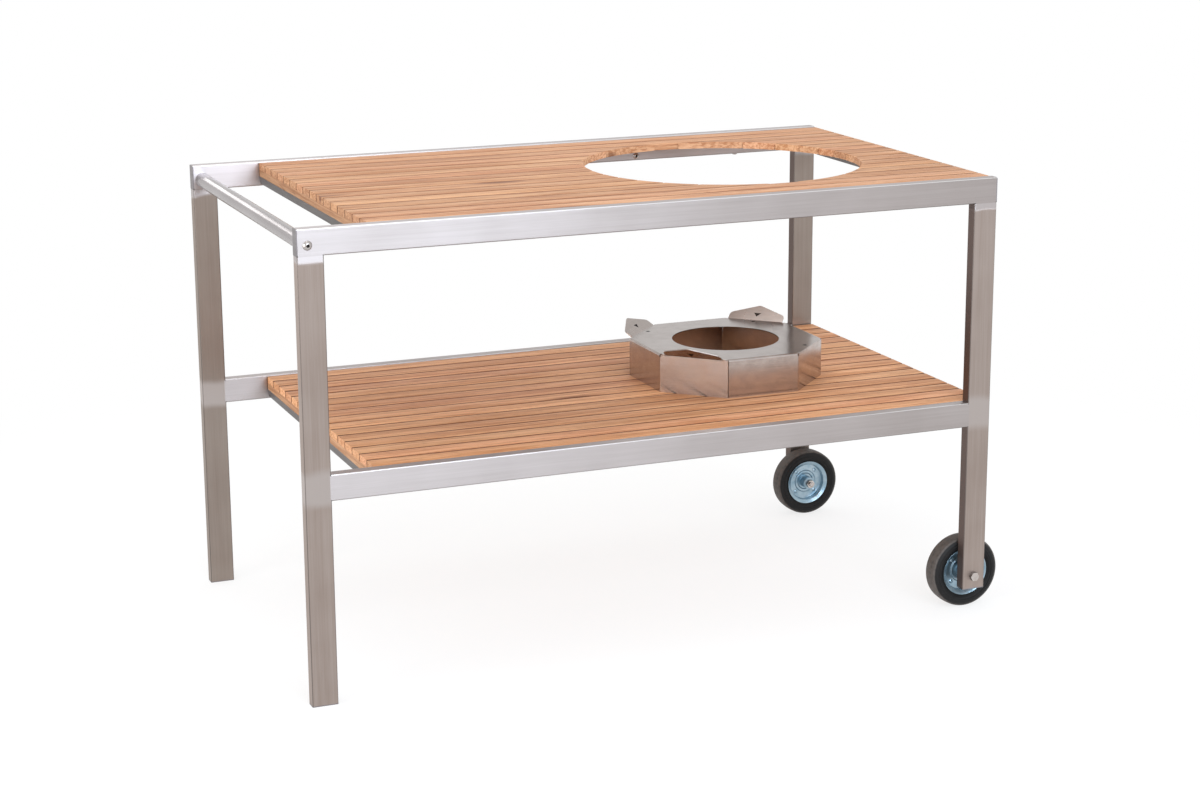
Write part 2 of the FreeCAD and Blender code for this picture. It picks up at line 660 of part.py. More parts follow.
def build_rim_half(side, face, turn):
    """Pressed dish: web on the middle of the wheel, bead round the hub, tyre seat, flare and lip."""
    hub = "(sizes.hub_diameter / 2 + sizes.fit_gap)"
    bead_low = "sizes.rim_bead / 2 - sizes.rim_bead_width / 2"
    bead_high = "sizes.rim_bead / 2 + sizes.rim_bead_width / 2"
    crest_low = "sizes.rim_bead / 2 - sizes.rim_bead_width / 4"
    crest_high = "sizes.rim_bead / 2 + sizes.rim_bead_width / 4"
    seat, lip = "sizes.rim_seat / 2", "sizes.rim_diameter / 2"
    dish = f"({seat} - sizes.rim_sheet)"
    crest = "sizes.rim_bead_height"
    flare_slope = f"(sizes.rim_flare / ({lip} - {seat}))"
    rim = turned_piece(f"{side}_wheel_rim_{face}", (
        (hub, "0.0"), (bead_low, "0.0"), (crest_low, crest), (crest_high, crest), (bead_high, "0.0"),
        (seat, "0.0"), (seat, FLARE_START), (lip, "sizes.rim_width / 2 - sizes.rim_sheet"),
        (lip, "sizes.rim_width / 2"), (dish, f"sizes.rim_width / 2 - {flare_slope} * ({lip} - {dish})"),
        (dish, "sizes.rim_sheet"), (bead_high, "sizes.rim_sheet"), (crest_high, f"{crest} + sizes.rim_sheet"),
        (crest_low, f"{crest} + sizes.rim_sheet"), (bead_low, "sizes.rim_sheet"), (hub, "sizes.rim_sheet")))
    holes = sketch_on(rim, "XY_Plane", "rivet_holes")
    for angle in rivet_angles():
        circle(holes, "(sizes.rivet_diameter + 2 * sizes.fit_gap)",
               f"(sizes.rivet_circle / 2 * cos({angle}))", f"(sizes.rivet_circle / 2 * sin({angle}))")
    pocket(rim, holes)
    put_on_axle(rim, side, f"{side}_wheel_rim_{face}", turn)


def rivet_angles():
    """Even angles, half a step off the local X axis, so that both halves of a rim agree."""
    count = round(value("sizes.rivet_count"))
    return [(i + 0.5) * 360 / count for i in range(count)]


def build_rivets(side):
    head, shank = "sizes.rivet_head / 2", "sizes.rivet_diameter / 2"
    seat, top = "sizes.rim_sheet", "(sizes.rim_sheet + sizes.rivet_dome)"
    crown = f"({head} - sizes.rivet_dome)"
    rivet = turned_piece(f"{side}_rivet", (
        ("0.0", f"-{top}"), (crown, f"-{top}"), (head, f"-{seat}"), (shank, f"-{seat}"),
        (shank, seat), (head, seat), (crown, top), ("0.0", top)))
    middle = at(AXLE_X, WHEEL_Y[side], AXLE_Z, INWARD[side])
    places = []
    for angle in rivet_angles():
        here = FreeCAD.Rotation(Z, angle).multVec(X * value("sizes.rivet_circle / 2"))
        places.append(middle.multiply(FreeCAD.Placement(here, UPRIGHT)))
    group(f"{side}_wheel_rivets", copies_of(rivet, places))


def build_wheel(side):
    build_tyre(side)
    build_rim_half(side, "outer", OUTWARD[side])
    build_rim_half(side, "inner", INWARD[side])
    hub = pipe(f"{side}_wheel_hub", "sizes.hub_diameter", HUB_BORE, "sizes.hub_length")
    put_on_axle(hub, side, f"{side}_wheel_hub", INWARD[side])
    bush = pipe(f"{side}_wheel_bush", "sizes.bush_diameter",
                "(sizes.sleeve_diameter + 2 * sizes.running_gap)", "sizes.hub_length")
    put_on_axle(bush, side, f"{side}_wheel_bush", INWARD[side])
    build_rivets(side)


def along_axle(distance):
    """Placements on both axles, at a distance inward from the outer face of the leg."""
    return [
        at(AXLE_X, f"{FRONT} + {distance}", AXLE_Z, ACROSS),
        at(AXLE_X, f"{BACK} - ({distance})", AXLE_Z, TO_FRONT)]


def build_axles():
    sleeve_length = "(sizes.tyre_width + 2 * (sizes.wheel_leg_gap - sizes.washer_thickness))"
    bore = "(sizes.axle_thread + 2 * sizes.screw_hole_gap)"
    inner_washer = f"sizes.tube_thickness + sizes.washer_thickness + {sleeve_length}"
    nut_seat = f"{inner_washer} + sizes.washer_thickness"

    bolt = new_body("axle_bolt")
    head = sketch_on(bolt, "XY_Plane", "head")
    hexagon(head, "sizes.axle_hex")
    pad(bolt, head, "sizes.axle_head_height").Reversed = True
    shank = sketch_on(bolt, "XY_Plane", "shank")
    circle(shank, "sizes.axle_thread")
    pad(bolt, shank, f"{nut_seat} + sizes.axle_nut_height + sizes.axle_end")
    group("axle_bolts", copies_of(bolt, along_axle("0.0")))

    nut = new_body("axle_nut")
    hexagonal = sketch_on(nut, "XY_Plane", "section")
    hexagon(hexagonal, "sizes.axle_hex")
    circle(hexagonal, "(sizes.axle_thread + 2 * sizes.thread_gap)")
    pad(nut, hexagonal, "sizes.axle_nut_height")
    group("axle_nuts", copies_of(nut, along_axle(nut_seat)))

    washer = pipe("axle_washer", "sizes.washer_diameter", bore, "sizes.washer_thickness")
    outer_middle = "sizes.tube_thickness + sizes.washer_thickness / 2"
    inner_middle = f"{inner_washer} + sizes.washer_thickness / 2"
    group("axle_washers", copies_of(washer, along_axle(outer_middle) + along_axle(inner_middle)))

    sleeve = pipe("axle_sleeve", "sizes.sleeve_diameter", bore, sleeve_length)
    middle = f"sizes.tube_thickness + sizes.washer_thickness + {sleeve_length} / 2"
    group("axle_sleeves", copies_of(sleeve, along_axle(middle)))


# Stand: folded from one sheet, loose on the shelf. Its local origin is on the shelf, in its middle.

STAND_X = f"({RIGHT} - sizes.stand_place)"
STAND_HALF = "(sizes.stand_width / 2)"
STAND_INNER = f"({STAND_HALF} - sizes.stand_corner)"
FACET_DISTANCE = f"(({STAND_HALF} + {STAND_INNER}) / sqrt(2))"
FACET_LENGTH = "(sizes.stand_corner * sqrt(2))"
FACET_ANGLES = {"back_right": 45, "back_left": 135, "front_left": 225, "front_right": 315}
TAB_FACETS = ("back_right", "back_left", "front_left")


def fold_stand_shell(body):
    """Octagonal box, its four straight top edges bent, open below and at the four diagonal sides."""
    plan = sketch_on(body, "XY_Plane", "plan")
    half, inner = STAND_HALF, STAND_INNER
    outline(plan, (
        (f"-{inner}", f"-{half}"), (inner, f"-{half}"), (half, f"-{inner}"), (half, inner),
        (inner, half), (f"-{inner}", half), (f"-{half}", inner), (f"-{half}", f"-{inner}")))
    pad(body, plan, "sizes.stand_height")
    top, straight = value("sizes.stand_height"), value(STAND_HALF)

    def is_bend(edge):
        ends = [vertex.Point for vertex in edge.Vertexes]
        across_x = all(near(abs(end.x), straight) for end in ends)
        across_y = all(near(abs(end.y), straight) for end in ends)
        return all(near(end.z, top) for end in ends) and (across_x or across_y)

    dress(body, "Fillet", is_bend, "sizes.stand_bend")
    base = body.Tip
    open_faces = []
    for number, face in enumerate(base.Shape.Faces, start=1):
        normal = face.normalAt(0, 0)
        diagonal = near(abs(normal.x), abs(normal.y)) and near(normal.z, 0)
        if diagonal or near(normal.z, -1):
            open_faces.append(f"Face{number}")
    shell = body.newObject("PartDesign::Thickness", "stand_sheet")
    shell.Base = (base, open_faces)
    shell.Reversed = True
    shell.setExpression("Value", "sizes.stand_sheet")
    doc.recompute()


def raise_tab(body, facet):
    """Tab bent up and outward along one diagonal edge of the top plate."""
    tab = sketch_on(body, "XY_Plane", f"{facet}_tab")
    angle = FACET_ANGLES[facet]
    offset = {
        "Base.x": f"{FACET_DISTANCE} * cos({angle})",
        "Base.y": f"{FACET_DISTANCE} * sin({angle})",
        "Base.z": "sizes.stand_height - sizes.stand_sheet",
    }
    turn = FreeCAD.Rotation(Z, angle).multiply(FreeCAD.Rotation(Y, -value("sizes.tab_angle")))
    tab.AttachmentOffset = FreeCAD.Placement(FreeCAD.Vector(), turn)
    for name, expression in offset.items():
        tab.setExpression(f"AttachmentOffset.{name}", expression)
    side, slot = "sizes.tab_width / 2", "sizes.tab_slot_width / 2"
    outline(tab, (
        ("0.0", f"-{side}"), ("sizes.tab_shoulder", f"-{side}"), ("sizes.tab_peak", "0.0"),
        ("sizes.tab_shoulder", side), ("0.0", side)))
    slot_end = "sizes.tab_slot_place + sizes.tab_slot_height"
    outline(tab, (("sizes.tab_slot_place", "0.0"), (slot_end, f"-{slot}"), (slot_end, slot)))
    pad(body, tab, "sizes.stand_sheet")
    fold = FreeCAD.Vector(*(value(offset[f"Base.{axis}"]) for axis in "xyz"))
    out, along, normal = turn.multVec(X), turn.multVec(Y), turn.multVec(Z)
    shoulder, peak, half = (value(size) for size in ("sizes.tab_shoulder", "sizes.tab_peak", side))
    corners = ((shoulder, -half), (shoulder, half), (peak, 0))

    def is_corner(edge):
        if not runs_along(normal)(edge):
            return False
        middle = edge.CenterOfMass - fold
        return any(near(middle.dot(out), reach) and near(middle.dot(along), beside)
                   for reach, beside in corners)

    dress(body, "Fillet", is_corner, "sizes.tab_round")


def build_stand():
    body = new_body("stand_shell")
    fold_stand_shell(body)
    for facet in TAB_FACETS:
        raise_tab(body, facet)
    holes = sketch_on(body, "XY_Plane", "holes")
    circle(holes, "sizes.stand_opening")
    reach = f"({FACET_DISTANCE} - sizes.stand_hole_inset)"
    for angle in FACET_ANGLES.values():
        circle(holes, "sizes.stand_hole", f"({reach} * cos({angle}))", f"({reach} * sin({angle}))")
    pocket(body, holes)
    place(body, STAND_X, "sizes.stand_offset", SHELF)
    keep(body, "stand_shell")

    plate = new_body("stand_corner_plate")
    face = sketch_on(plate, "YZ_Plane", "face")
    side = f"({FACET_LENGTH} / 2 - sizes.stand_sheet * sqrt(2) - sizes.stand_seam)"
    top = "(sizes.stand_height - sizes.stand_sheet)"
    outline(face, ((f"-{side}", "0.0"), (side, "0.0"), (side, top), (f"-{side}", top)))
    pad(plate, face, "sizes.stand_sheet").Reversed = True
    doc.recompute()
    middle = at(STAND_X, "sizes.stand_offset", SHELF)
    places = []
    for angle in FACET_ANGLES.values():
        turn = FreeCAD.Rotation(Z, angle)
        facet = FreeCAD.Placement(turn.multVec(X * value(FACET_DISTANCE)), turn)
        places.append(middle.multiply(facet))
    group("stand_corner_plates", copies_of(plate, places))


build_rails()
build_legs()
build_end_caps()
build_cross_members()
build_battens()
build_slats()
build_deck_screws()
build_handle()
build_hook_screws()
for wheel_side in WHEEL_Y:
    build_wheel(wheel_side)
build_axles()
build_stand()
doc.recompute()

for item in doc.Objects:
    if "Invalid" in item.State or "Error" in item.State:
        raise RuntimeError(f"{item.Name} failed: {item.State}")
for piece in nodes:
    if piece.Shape.isNull() or not piece.Shape.isValid() or not piece.Shape.Solids:
        raise RuntimeError(f"{piece.Label} has no valid solid")

os.makedirs("parts", exist_ok=True)
for piece in nodes:
    piece.Shape.exportStep(f"parts/{piece.Label}.step")
print(f"{len(nodes)} sub-parts, {sum(len(piece.Shape.Solids) for piece in nodes)} solids")
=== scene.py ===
import json
import math
from functools import partial

import bmesh
import bpy
from mathutils import Matrix, Vector


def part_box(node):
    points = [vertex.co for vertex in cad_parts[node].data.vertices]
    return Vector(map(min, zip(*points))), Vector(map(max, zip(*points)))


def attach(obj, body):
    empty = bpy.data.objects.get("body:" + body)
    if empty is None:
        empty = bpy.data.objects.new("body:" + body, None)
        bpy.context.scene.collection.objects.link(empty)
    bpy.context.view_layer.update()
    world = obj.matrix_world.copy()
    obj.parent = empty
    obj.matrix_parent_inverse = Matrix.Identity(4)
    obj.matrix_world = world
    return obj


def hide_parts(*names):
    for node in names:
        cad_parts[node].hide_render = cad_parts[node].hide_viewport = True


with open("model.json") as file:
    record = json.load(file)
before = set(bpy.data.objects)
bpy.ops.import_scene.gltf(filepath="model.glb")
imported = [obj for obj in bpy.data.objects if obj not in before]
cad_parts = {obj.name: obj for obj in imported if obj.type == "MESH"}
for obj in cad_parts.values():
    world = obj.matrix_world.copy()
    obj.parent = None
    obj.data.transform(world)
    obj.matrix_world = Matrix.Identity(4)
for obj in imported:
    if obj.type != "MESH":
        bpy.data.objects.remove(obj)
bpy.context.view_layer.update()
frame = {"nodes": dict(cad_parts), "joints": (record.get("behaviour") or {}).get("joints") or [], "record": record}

part = frame["nodes"]
MM = 0.001


# Frame tubes: stainless 50 x 25 mm, four long rails, two plain legs and two shorter wheel legs.
# They are welded, the welds ground flush, and every tube is belt-ground along its length.

SOFTLY = {"interpolation_type": "SMOOTHSTEP"}
IN_COLOUR = {"data_type": "RGBA"}
WAVER = 50 * MM


def linear(shade):
    """The linear colour of an sRGB hex colour."""
    channels = [int(shade[i:i + 2], 16) / 255 for i in (1, 3, 5)]
    return tuple(c / 12.92 if c <= 0.04045 else ((c + 0.055) / 1.055) ** 2.4 for c in channels) + (1.0,)


def add_node(tree, kind, *sources, named=None, **settings):
    """One node with its settings; its kind may end in its operation. Inputs are fed in their order,
    or by their names. A source is a value, a vector of values and nodes, a hex colour, an output,
    a node, for its first output, or a list of nodes for an input that takes many."""
    kind, _, operation = kind.partition(" ")
    if operation:
        settings["operation"] = operation
    prefix = next(prefix for prefix in ("ShaderNode", "GeometryNode", "FunctionNode", "")
                  if hasattr(bpy.types, prefix + kind))
    node = tree.nodes.new(prefix + kind)
    for option, choice in settings.items():
        setattr(node, option, choice)
    fed = list(zip([socket for socket in node.inputs if socket.enabled], sources))
    fed += [(node.inputs[name], source) for name, source in (named or {}).items()]
    for socket, source in fed:
        for one in (source if isinstance(source, list) else [source]):
            if isinstance(one, tuple) and any(isinstance(size, bpy.types.bpy_struct) for size in one):
                one = add_node(tree, "CombineXYZ", *one)
            if isinstance(one, bpy.types.Node):
                one = next(output for output in one.outputs if output.enabled)
            if isinstance(one, bpy.types.NodeSocket):
                tree.links.new(one, socket)
            elif one is not None:
                socket.default_value = linear(one) if str(one).startswith("#") else one
    return node


def new_finish(name):
    """An empty material, what adds its nodes, and the place on the object that its patterns follow."""
    finish = bpy.data.materials.new(name)
    finish.use_nodes = True
    finish.node_tree.nodes.clear()
    add = partial(add_node, finish.node_tree)
    return finish, add, add("TexCoord").outputs["Object"]


def stretched(brush, along, across):
    """Scale of a pattern, in repeats per metre, that runs along the brush direction."""
    return tuple(1 / (along * MM) if step else 1 / (across * MM) for step in brush)


def belt_ground(name, brush, pale, dull, roughness, grain, lustre=0.7, welds=(), rounds=0.65,
                inner=0, painted_shade_from=None):
    """Stainless steel ground with a belt: fine parallel scratches that smear a reflection across
    them, faint broader streaks where the belt overlapped, and slow patches of a duller tone.
    The rounded corners are darkened as painted shade, the upper ones that face the front are lightened as a
    painted highlight, and a disc has polished the welds."""
    finish, add, place = new_finish(name)
    # A 180 grit belt leaves lines about 0.1 mm apart, too fine to show; drawn 0.9 mm apart.
    layers, wear = {}, 0
    for layer, along, across, detail, rough, low, share in (
            ("scratches", 90, 0.9, 3, 0.65, 0.3, grain), ("streaks", 420, 7, 4, 0.6, 0.3, 0.35),
            ("patches", 140, 140, 2, 0.5, 0.35, 0.3)):
        drawn = add("Mapping", place, named={"Scale": stretched(brush, along, across)})
        layers[layer] = add("TexNoise", drawn, 1, detail, rough)
        share_of_wear = add("MapRange", layers[layer], low, 1 - low, 0, share)
        wear = add("Math ADD", wear, share_of_wear)
    ground = add("Mix", wear, pale, dull, **IN_COLOUR)
    spot = add("SeparateXYZ", place).outputs
    # The slight tilt keeps the brush direction off every face's own normal.
    direction = add("CombineXYZ", brush[0] + 0.02, brush[1] + 0.03, brush[2] + 0.02)
    for level, reach, polished, crosswise in welds:
        # The disc leaves a brighter patch with a wavering edge, from the joint outwards.
        wavering = add("Math MULTIPLY_ADD", layers["patches"], WAVER, spot[2])
        off = add("Math SUBTRACT", wavering, level + WAVER / 2)
        away = add("Math ABSOLUTE", off)
        patch = add("MapRange", away, reach * 0.5, reach, 1, 0, **SOFTLY)
        ground = add("Mix", patch, ground, polished, **IN_COLOUR)
        if crosswise:
            direction = add("Mix", patch, direction, (1.02, 0.03, 0.02), data_type="VECTOR")
    facing = add("NewGeometry").outputs["Normal"]
    looks = add("SeparateXYZ", facing).outputs
    if inner:
        # Painted shade: the side that looks between the decks is darkened to a brown-grey.
        inward = add("Math MULTIPLY", looks[0], inner)
        painted_inner_shade = add("MapRange", inward, 0.8, 0.97, 0, 0.9, **SOFTLY)
        ground = add("Mix", painted_inner_shade, ground, "#5e4f4a", **IN_COLOUR)
    if painted_shade_from:
        # Painted shade: at the back the top face is darkened for a few millimetres, as a wider dark edge at the
        # rounded corner.
        past = add("MapRange", spot[1], painted_shade_from - MM, painted_shade_from + MM, **SOFTLY)
        top = add("MapRange", looks[2], 0.5, 0.9, **SOFTLY)
        back_edge_shade = add("Math MULTIPLY", past, top)
        ground = add("Mix", back_edge_shade, ground, "#5f5a58", **IN_COLOUR)
    # Painted shade: faces that look along none of the axes, the rounded corners, are darkened towards a dark grey.
    steep = add("SeparateXYZ", add("VectorMath ABSOLUTE", facing)).outputs
    most = add("Math MAXIMUM", steep[0], steep[1])
    flat = add("Math MAXIMUM", most, steep[2])
    corner = add("MapRange", flat, 0.88, 0.99, rounds, 0, **SOFTLY)
    # Painted highlight: the upper corners on the cook's side are lightened almost to white.
    upper = add("MapRange", looks[2], 0.3, 0.55, **SOFTLY)
    near = add("MapRange", looks[1], 0.05, 0.3, 1, 0, **SOFTLY)
    painted_highlight_mask = add("Math MULTIPLY", upper, near)
    edge = add("Mix", painted_highlight_mask, "#5f5a58", "#fbfafa", **IN_COLOUR)
    tone = add("Mix", corner, ground, edge, **IN_COLOUR)
    dullness = add("MapRange", wear, 0, 1, roughness - 0.04, roughness + 0.08)
    relief = add("Bump", named={
        "Strength": 0.12, "Distance": 0.05 * MM, "Height": layers["scratches"]})
    steel = add("BsdfPrincipled", named={
        "Base Color": tone, "Metallic": 1, "Roughness": dullness, "Anisotropic": lustre,
        "Anisotropic Rotation": 0.25, "Tangent": direction, "Normal": relief})
    add("OutputMaterial", steel)
    return finish


def dress(finish, *names):
    """Gives CAD nodes, whose shape is right as it is, their finish."""
    for name in names:
        part[name].data.materials.clear()
        part[name].data.materials.append(finish)


ALONG_X, ALONG_Y, ALONG_Z = (1, 0, 0), (0, 1, 0), (0, 0, 1)
DARK_EDGE = 6 * MM
# Where each weld is, how far its polish reaches, its tone, and whether the disc ran across the leg.
LEG_WELDS = ((0.85, 0.016, "#bbb4b3", True), (0.419, 0.04, "#b5aca8", False))

rail_steel = belt_ground("belt_ground_stainless_rail", ALONG_X, "#b9b2b1", "#a49c99", 0.38, 0.3, 0.8)
dress(rail_steel, "top_rail_front", "lower_rail_front", "lower_rail_back")
# The back top rail gets a lighter copy of the rail steel, as painted light, and the back legs a darker copy of the
# leg steel, as painted shade.
dress(belt_ground("belt_ground_stainless_back_rail", ALONG_X, "#c8c1c1", "#b1a9a7", 0.38, 0.3, 0.8,
                  painted_shade_from=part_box("top_rail_back")[1].y - DARK_EDGE), "top_rail_back")
# The back legs' darker tones are painted shade.
for side, pale, dull in (("front", "#b0a49e", "#988980"), ("back", "#a2978f", "#8b7d74")):
    for end, inner in (("left", 1), ("right", -1)):
        dress(belt_ground(f"belt_ground_stainless_{side}_{end}_leg", ALONG_Z, pale, dull, 0.42, 0.3,
                          welds=LEG_WELDS, inner=inner), f"leg_{side}_{end}")
dress(belt_ground("linished_stainless_cap", ALONG_Y, "#8f898a", "#7b7476", 0.42, 0.3), "tube_end_caps")


# Welds: at each joint the groove along the tube's rounded corner is filled and ground flush.
# So the front and back faces of legs and rails run on without a step.

def open_tree(name, sizes):
    """A geometry tree with its sizes as named inputs, what adds its nodes, and the inputs' sockets."""
    tree = bpy.data.node_groups.new(name, "GeometryNodeTree")
    for way in ("OUTPUT", "INPUT"):
        tree.interface.new_socket("Geometry", in_out=way, socket_type="NodeSocketGeometry")
    for label, size in sizes.items():
        kind = {int: "NodeSocketInt", float: "NodeSocketFloat", tuple: "NodeSocketVector"}[type(size)]
        tree.interface.new_socket(label, in_out="INPUT", socket_type=kind).default_value = size
    add = partial(add_node, tree)
    return tree, add, add("NodeGroupInput").outputs


def close_tree(tree, shape, finish):
    """Ends a tree: its instances made real, and its material set."""
    real = add_node(tree, "RealizeInstances", shape)
    add_node(tree, "NodeGroupOutput", add_node(tree, "SetMaterial", real, None, finish))
    return tree


def applied(piece):
    """The piece with its modifiers turned into one plain mesh."""
    made = bpy.data.meshes.new_from_object(piece.evaluated_get(bpy.context.evaluated_depsgraph_get()))
    piece.modifiers.clear()
    piece.data = made
    return piece


def soften(piece, angle=32):
    """Round surfaces shade smooth, and edges sharper than the angle stay crisp."""
    piece.data.shade_smooth()
    piece.data.set_sharp_from_angle(angle=math.radians(angle))
    return piece


def grown(name, tree, sizes, start=None):
    """The plain mesh that a tree makes with these sizes, as an object."""
    piece = bpy.data.objects.new(name, start or bpy.data.meshes.new(name))
    bpy.context.scene.collection.objects.link(piece)
    maker = piece.modifiers.new(name, "NODES")
    maker.node_group = tree
    for socket in tree.interface.items_tree:
        if socket.in_out == "INPUT" and socket.name in sizes:
            maker[socket.identifier] = sizes[socket.name]
    made = applied(piece).data
    finishes = [finish for finish in made.materials if finish]
    made.materials.clear()
    made.materials.append(finishes[0])
    made.polygons.foreach_set("material_index", [0] * len(made.polygons))
    return soften(piece)


def put_on(piece, body, slot, *nodes):
    """Lets a finished piece ride on its body and hides the CAD nodes that it stands for; the slot is not used."""
    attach(piece, body)
    if nodes:
        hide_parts(*nodes)


def turned_points(name, places, attribute="aim"):
    """A mesh of points, each with a direction or a turn of its own."""
    points = bpy.data.meshes.new(name)
    points.from_pydata([spot for spot, turn in places], [], [])
    turns = points.attributes.new(attribute, "FLOAT_VECTOR", "POINT")
    turns.data.foreach_set("vector", [step for spot, turn in places for step in turn])
    return points


def weld_tree(finish):
    """A bar that fills the groove between a face and the rounded corner behind it."""
    tree, add, given = open_tree("ground_welds", {"Length": 45 * MM, "Corner": 2.5 * MM})
    length, corner = given["Length"], given["Corner"]
    bar = add("MeshCube", (length, corner, corner))
    half = add("Math MULTIPLY", corner, 0.5)
    seated = add("Transform", bar, (0, half, half))
    spot = add("SeparateXYZ", add("InputPosition")).outputs
    inner = add("Math MINIMUM", spot[1], spot[2])
    behind = add("Compare GREATER_THAN", inner, half)
    # The edge behind follows the tube's round corner.
    back = add("Math MULTIPLY", corner, -math.sqrt(0.5))
    filler = add("SetPosition", seated, behind, None, (0, back, back))
    turn = add("InputNamedAttribute", "turn", data_type="FLOAT_VECTOR")
    laid = add("InstanceOnPoints", given["Geometry"],
               named={"Instance": filler, "Rotation": add("EulerToRotation", turn)})
    return close_tree(tree, laid, finish)


TUBE_CORNER = 2.5 * MM
joints = []
for side in ("front", "back"):
    rail_low, rail_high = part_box(f"top_rail_{side}")
    shelf_level = sum(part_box(f"lower_rail_{side}"), Vector()).z / 2
    for end, lean in (("left", -math.pi / 2), ("right", math.pi / 2)):
        leg_low, leg_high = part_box(f"leg_{side}_{end}")
        inner_side = leg_high.x if end == "left" else leg_low.x
        for face, sign, round_to in ((rail_low.y, 1, 0.0), (rail_high.y, -1, math.pi)):
            joints.append((((leg_low.x + leg_high.x) / 2, face, rail_low.z), (0.0, 0.0, round_to)))
            joints.append(((inner_side, face, shelf_level), (0.0, lean * sign, round_to)))
tube_width = rail_high.z - rail_low.z
put_on(grown("ground_joint_welds", weld_tree(rail_steel),
             {"Length": tube_width - 2 * TUBE_CORNER, "Corner": TUBE_CORNER},
             turned_points("weld_places", joints, "turn")), "table", "brushed_tube")


# Cross-members: flat stainless tube 50 x 17 mm between the rails, four under each deck.
# They are left as they came from the mill, so they are duller than the frame.

cross_steel = belt_ground("mill_finish_stainless_cross_member", ALONG_Y, "#8b8786", "#716c6a",
                          0.48, 0.25, 0.4)
cross_members = [f"{deck}_cross_member_{number}" for deck in ("top", "shelf") for number in (1, 2, 3, 4)]
dress(cross_steel, *cross_members)


# Battens: teak, 50 x 14 mm, one on each cross-member, held by screws from below.
# The slats are glued and pinned on them.

def oiled_teak(name, turn, pale, warm, dark, knots=True, sawn=None, gap_shade_strength=1.0, covered=False, ends=None):
    """Planed teak: honey brown, long wandering grain of early and late wood, short dark pores
    and a few knots; oil leaves it with a low, soft sheen."""
    finish, add, place = new_finish(name)
    board = add("Attribute", attribute_name="board").outputs["Fac"]
    # Each board is sawn from another place in the log, so its pattern starts elsewhere.
    jump = add("VectorMath SCALE", (31, 0, 57), board)
    laid = add("Mapping", add("VectorMath ADD", place, jump), None, (0, 0, turn))
    # The grain lines wander by a few millimetres over a hand's breadth.
    slow = add("Mapping", laid, named={"Scale": stretched(ALONG_X, 260, 40)})
    wander = add("TexNoise", slow, 1, 2, 0.5)
    drift = add("MapRange", wander, 0, 1, -9 * MM, 9 * MM)
    bent = add("VectorMath ADD", laid, (0, drift, 0))
    layers = {}
    for layer, along, across, detail in (
            ("rings", 210, 4, 4), ("figure", 600, 30, 3), ("pores", 26, 1.2, 2), ("streaks", 120, 5, 3),
            ("swell", 150, 6, 1)):
        scaled = add("Mapping", bent, named={"Scale": stretched(ALONG_X, along, across)})
        layers[layer] = add("TexNoise", scaled, 1, detail, 0.6)
    late = add("MapRange", layers["rings"], 0.4, 0.62, 0, 0.8, **SOFTLY)
    broad = add("MapRange", layers["figure"], 0.35, 0.7, 0, 0.45, **SOFTLY)
    grain = add("Math ADD", late, broad, use_clamp=True)
    wood = add("Mix", grain, pale, warm, **IN_COLOUR)
    pore = add("MapRange", layers["pores"], 0.58, 0.7, 0, 0.6)
    wood = add("Mix", pore, wood, dark, **IN_COLOUR)
    # Reddish heartwood streaks, a hand long, in some of the boards.
    red = add("MapRange", layers["streaks"], 0.6, 0.74, 0, 0.6, **SOFTLY)
    wood = add("Mix", red, wood, "#9a5738", **IN_COLOUR)
    if knots:
        # A knot every metre or so: an eye that the grain flows round, darker at its heart.
        cells = add("Mapping", bent, named={"Scale": stretched(ALONG_X, 330, 52)})
        eyes = add("TexVoronoi", cells, 1, named={"Randomness": 0.9})
        chance = add("SeparateColor", eyes.outputs["Color"])
        here = add("Math GREATER_THAN", chance, 0.8)
        heart = add("MapRange", eyes, 0.05, 0.26, 0.85, 0, **SOFTLY)
        knot = add("Math MULTIPLY", here, heart)
        wood = add("Mix", knot, wood, dark, **IN_COLOUR)
    # Painted shade: the flanks between the boards are darkened, where the gaps are in shade.
    flank, gap_shade_tone = add("Attribute", attribute_name="flank").outputs["Fac"], "#552c17"
    if covered:
        # The same painted shade darkens a batten's top, which shows only through the gaps.
        looks = add("SeparateXYZ", add("NewGeometry").outputs["Normal"]).outputs
        flank = add("MapRange", looks[2], 0.5, 0.9, **SOFTLY)
    if sawn:
        # Round the cut-out the opened flanks are lit, so they get no painted shade.
        middle, radius = sawn
        from_cut = add("VectorMath SUBTRACT", place, middle)
        level = add("VectorMath MULTIPLY", from_cut, (1, 1, 0))
        reach = add("VectorMath LENGTH", level)
        hidden = add("MapRange", reach, radius + 2 * MM, radius + 8 * MM, **SOFTLY)
        flank = add("Math MULTIPLY", flank, hidden)
    if ends:
        # Painted shade: towards a board's ends the gaps are painted darker still.
        middle, half_length = ends
        along = add("Math SUBTRACT", add("SeparateXYZ", place), middle)
        far = add("Math ABSOLUTE", along)
        soaked = add("MapRange", far, half_length - 30 * MM, half_length - 6 * MM, **SOFTLY)
        gap_shade_tone = add("Mix", soaked, gap_shade_tone, "#1f0d06", **IN_COLOUR)
    gap_shade = add("Math MULTIPLY", flank, gap_shade_strength)
    wood = add("Mix", gap_shade, wood, gap_shade_tone, **IN_COLOUR)
    # No two boards are quite alike in tone: each is lighter or darker, redder or yellower.
    light = add("MapRange", board, 0, 1, 0.88, 1.06)
    second = add("Math FRACT", add("Math MULTIPLY", board, 7.3))
    redness = add("MapRange", second, 0, 1, 0.496, 0.502)
    varied = add("HueSaturation", redness, None, light, None, wood)
    sheen = add("MapRange", layers["rings"], 0.3, 0.7, 0.58, 0.62)
    matt = add("Mix", gap_shade, sheen, 0.95)
    relief = add("Bump", named={"Strength": 0.4, "Distance": 0.2 * MM, "Height": layers["swell"]})
    add("OutputMaterial", add("BsdfPrincipled", named={
        "Base Color": varied, "Roughness": matt, "IOR": 1.45, "Normal": relief}))
    return finish


dress(oiled_teak("planed_teak_batten", math.pi / 2, "#c89b72", "#a9774e", "#6e4226", knots=False,
                 covered=True), "top_battens", "shelf_battens")


# Slats: sixteen teak boards in each deck, 45 x 14 mm with 3 mm gaps and eased edges.
# The worktop's are sawn through in one circle, which the grill stands in.

